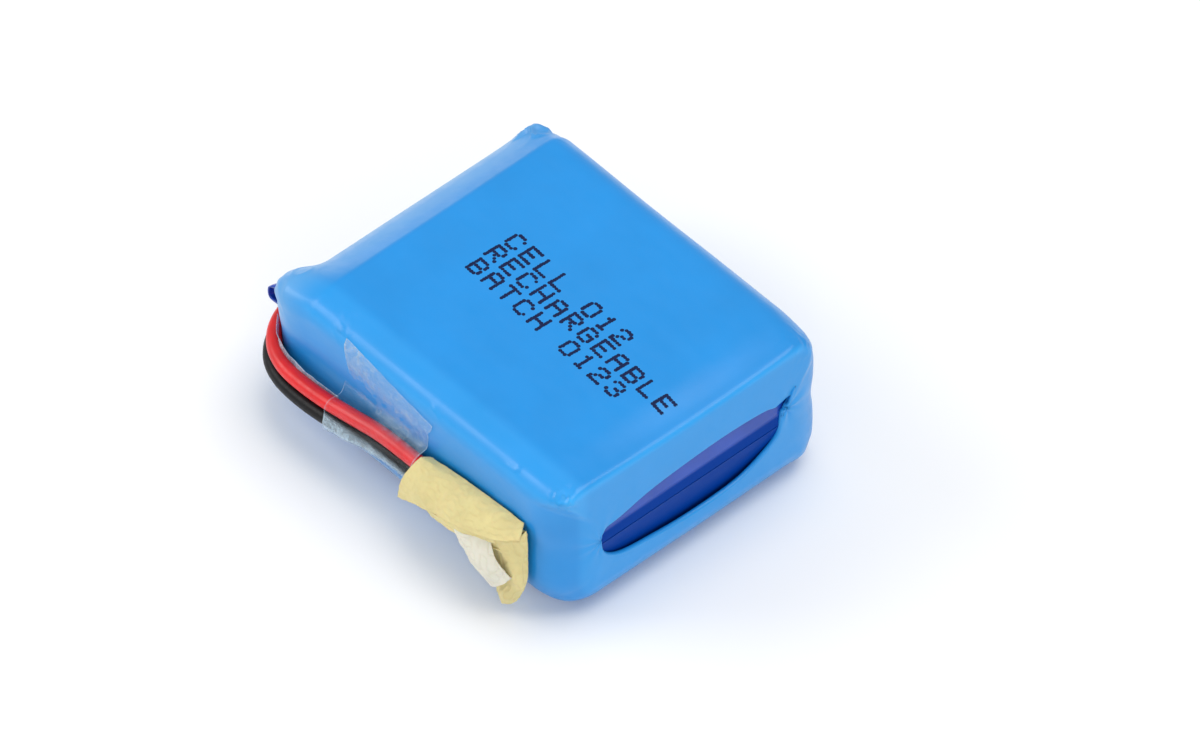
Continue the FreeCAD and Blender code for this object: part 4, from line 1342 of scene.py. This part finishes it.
@dataclass
class LeadEndSeal:
    """Dark blue tape over the protection board, bulging in the lead end's hole."""

    start_y: float = -14.4
    end_y: float = 8.9
    crown_x: float = -21.35          # the bulge's outermost X
    corner_out: float = 1.85         # how much farther out the loose corner stands
    far_tuck: float = 1.3            # how far the other end is tucked back in
    set_back: float = 0.1            # of the whole tape from its guide points
    thickness: float = 0.12

    def build(self) -> Piece:
        """Make the bulging tape, with its loose corner where the leads come out.

        Returns:
            The tape.
        """
        rows = []
        for y in np.linspace(self.start_y, self.end_y, 90):
            corner = smooth_step(-10.0, self.start_y, y)
            crown = self.crown_x - self.corner_out * corner + self.far_tuck * smooth_step(5.0, self.end_y, y)
            curl_low = 6.2 + 3.5 * corner
            rows.append([(-19.9, y, 5.6 + 4.6 * corner), (-20.9 - 1.2 * corner, y, curl_low),
                         (crown, y, 8.6 + 1.3 * corner), (crown, y, 10.6 + 0.7 * corner),
                         (-20.9 - 0.9 * corner, y, 12.2 - 0.2 * corner), (-19.8, y, 12.9 - 0.3 * corner)])
        points = curve_across(np.array(rows, float), 60)
        inner = smooth_step(-14.6, -12.5, points[..., 1]) * smooth_step(8.9, 6.5, points[..., 1])
        rise = inner * (0.10 * Ripple(61, 3.0).at(points) + 0.05 * Ripple(62, 1.2).ridges(points))
        points = points + facing_out(points, 0) * (rise - self.set_back)[..., None]
        piece = grid_object("board_tape_film", points)
        thicken(piece, self.thickness, 0.0)
        return settle(piece, Finishes.board_tape_film.value, "board_tape_film", "board_tape")


class InnerPieces:
    """The cells, board, links and joints inside the sleeve, kept as the CAD made them."""

    def dress(self) -> None:
        """Give each CAD node the finish of its record slot."""
        slots = {entry["node"]: entry["material_slot"] for entry in frame["record"]["subparts"]}
        for name, node in frame["nodes"].items():
            Finishes[slots[name]].value.dress(node)
            log.info("%s wears %s", name, slots[name])


@dataclass
class Studio:
    """A pale floor, soft lights and the camera."""

    azimuth: float = 47.7
    elevation: float = 47.0
    distance: float = 2.40
    lens: float = 756.0
    aim: tuple[float, float] = (5.36, -1.52)     # from the pack's middle, right and up in the view
    sky: float = 0.55                # strength of the even light from all round

    def axes(self) -> tuple[Vector, Vector, Vector]:
        """The view's right, up and backward directions.

        Returns:
            Three unit vectors.
        """
        turn, lift = math.radians(self.azimuth), math.radians(self.elevation)
        right = Vector((math.cos(turn), math.sin(turn), 0.0))
        back = Vector((math.sin(turn) * math.cos(lift), -math.cos(turn) * math.cos(lift), math.sin(lift)))
        return right, back.cross(right), back

    def camera(self) -> None:
        """Place the camera."""
        right, up, back = self.axes()
        low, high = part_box("shrink_sleeve")
        target = (low + high) / 2 + right * self.aim[0] * MM + up * self.aim[1] * MM
        data = bpy.data.cameras.new("camera")
        data.lens = self.lens
        data.sensor_width = 36.0
        data.clip_start = 0.1
        camera = add_object("camera", data)
        camera.location = target + back * self.distance
        camera.rotation_mode = "QUATERNION"
        camera.rotation_quaternion = (-back).to_track_quat("-Z", "Y")
        bpy.context.scene.camera = camera

    def floor(self) -> None:
        """Lay a plain pale floor."""
        bpy.ops.mesh.primitive_grid_add(x_subdivisions=4, y_subdivisions=4, size=6.0)
        floor = bpy.context.active_object
        floor.name = "floor"
        PlainFloor("pale_floor", (0.93, 0.93, 0.93), 0.80).dress(floor)

    def lights(self) -> None:
        """Hang a large soft box overhead, one to the left, and a weak fill."""
        for name, place, size, power, color in (
                ("overhead", (0.10, 0.20, 0.85), 0.70, 4.0, (1.0, 1.0, 1.0)),
                ("left_box", (-0.55, -0.45, 0.45), 0.45, 2.3, (1.0, 0.99, 0.97)),
                ("right_fill", (0.65, -0.35, 0.35), 0.45, 1.4, (0.97, 0.98, 1.0))):
            data = bpy.data.lights.new(name, "AREA")
            data.shape = "SQUARE"
            data.size = size
            data.energy = power
            data.color = color
            light = add_object(name, data)
            light.location = place
            light.rotation_mode = "QUATERNION"
            light.rotation_quaternion = (-Vector(place)).to_track_quat("-Z", "Y")
        world = bpy.data.worlds.new("studio")
        bpy.context.scene.world = world
        world.use_nodes = True
        background = world.node_tree.nodes["Background"]
        background.inputs["Color"].default_value = (0.95, 0.97, 1.0, 1.0)
        background.inputs["Strength"].default_value = self.sky

    def build(self) -> None:
        """Set up the whole studio."""
        self.camera()
        self.floor()
        self.lights()
        bpy.context.scene.view_settings.view_transform = "Standard"


def main() -> None:
    """Build every piece of the pack in order."""
    logging.basicConfig(level=logging.INFO, format="%(name)s: %(message)s")
    Studio().build()
    leads = Leads()
    red, black = leads.build()
    InnerPieces().dress()
    sleeve = Sleeve()
    sleeve.build()
    Marking().build(sleeve)
    LeadEndSeal().build()
    held_by = SideTape().build(leads, sleeve) + EndTape().build()


if __name__ == "__main__":
    main()
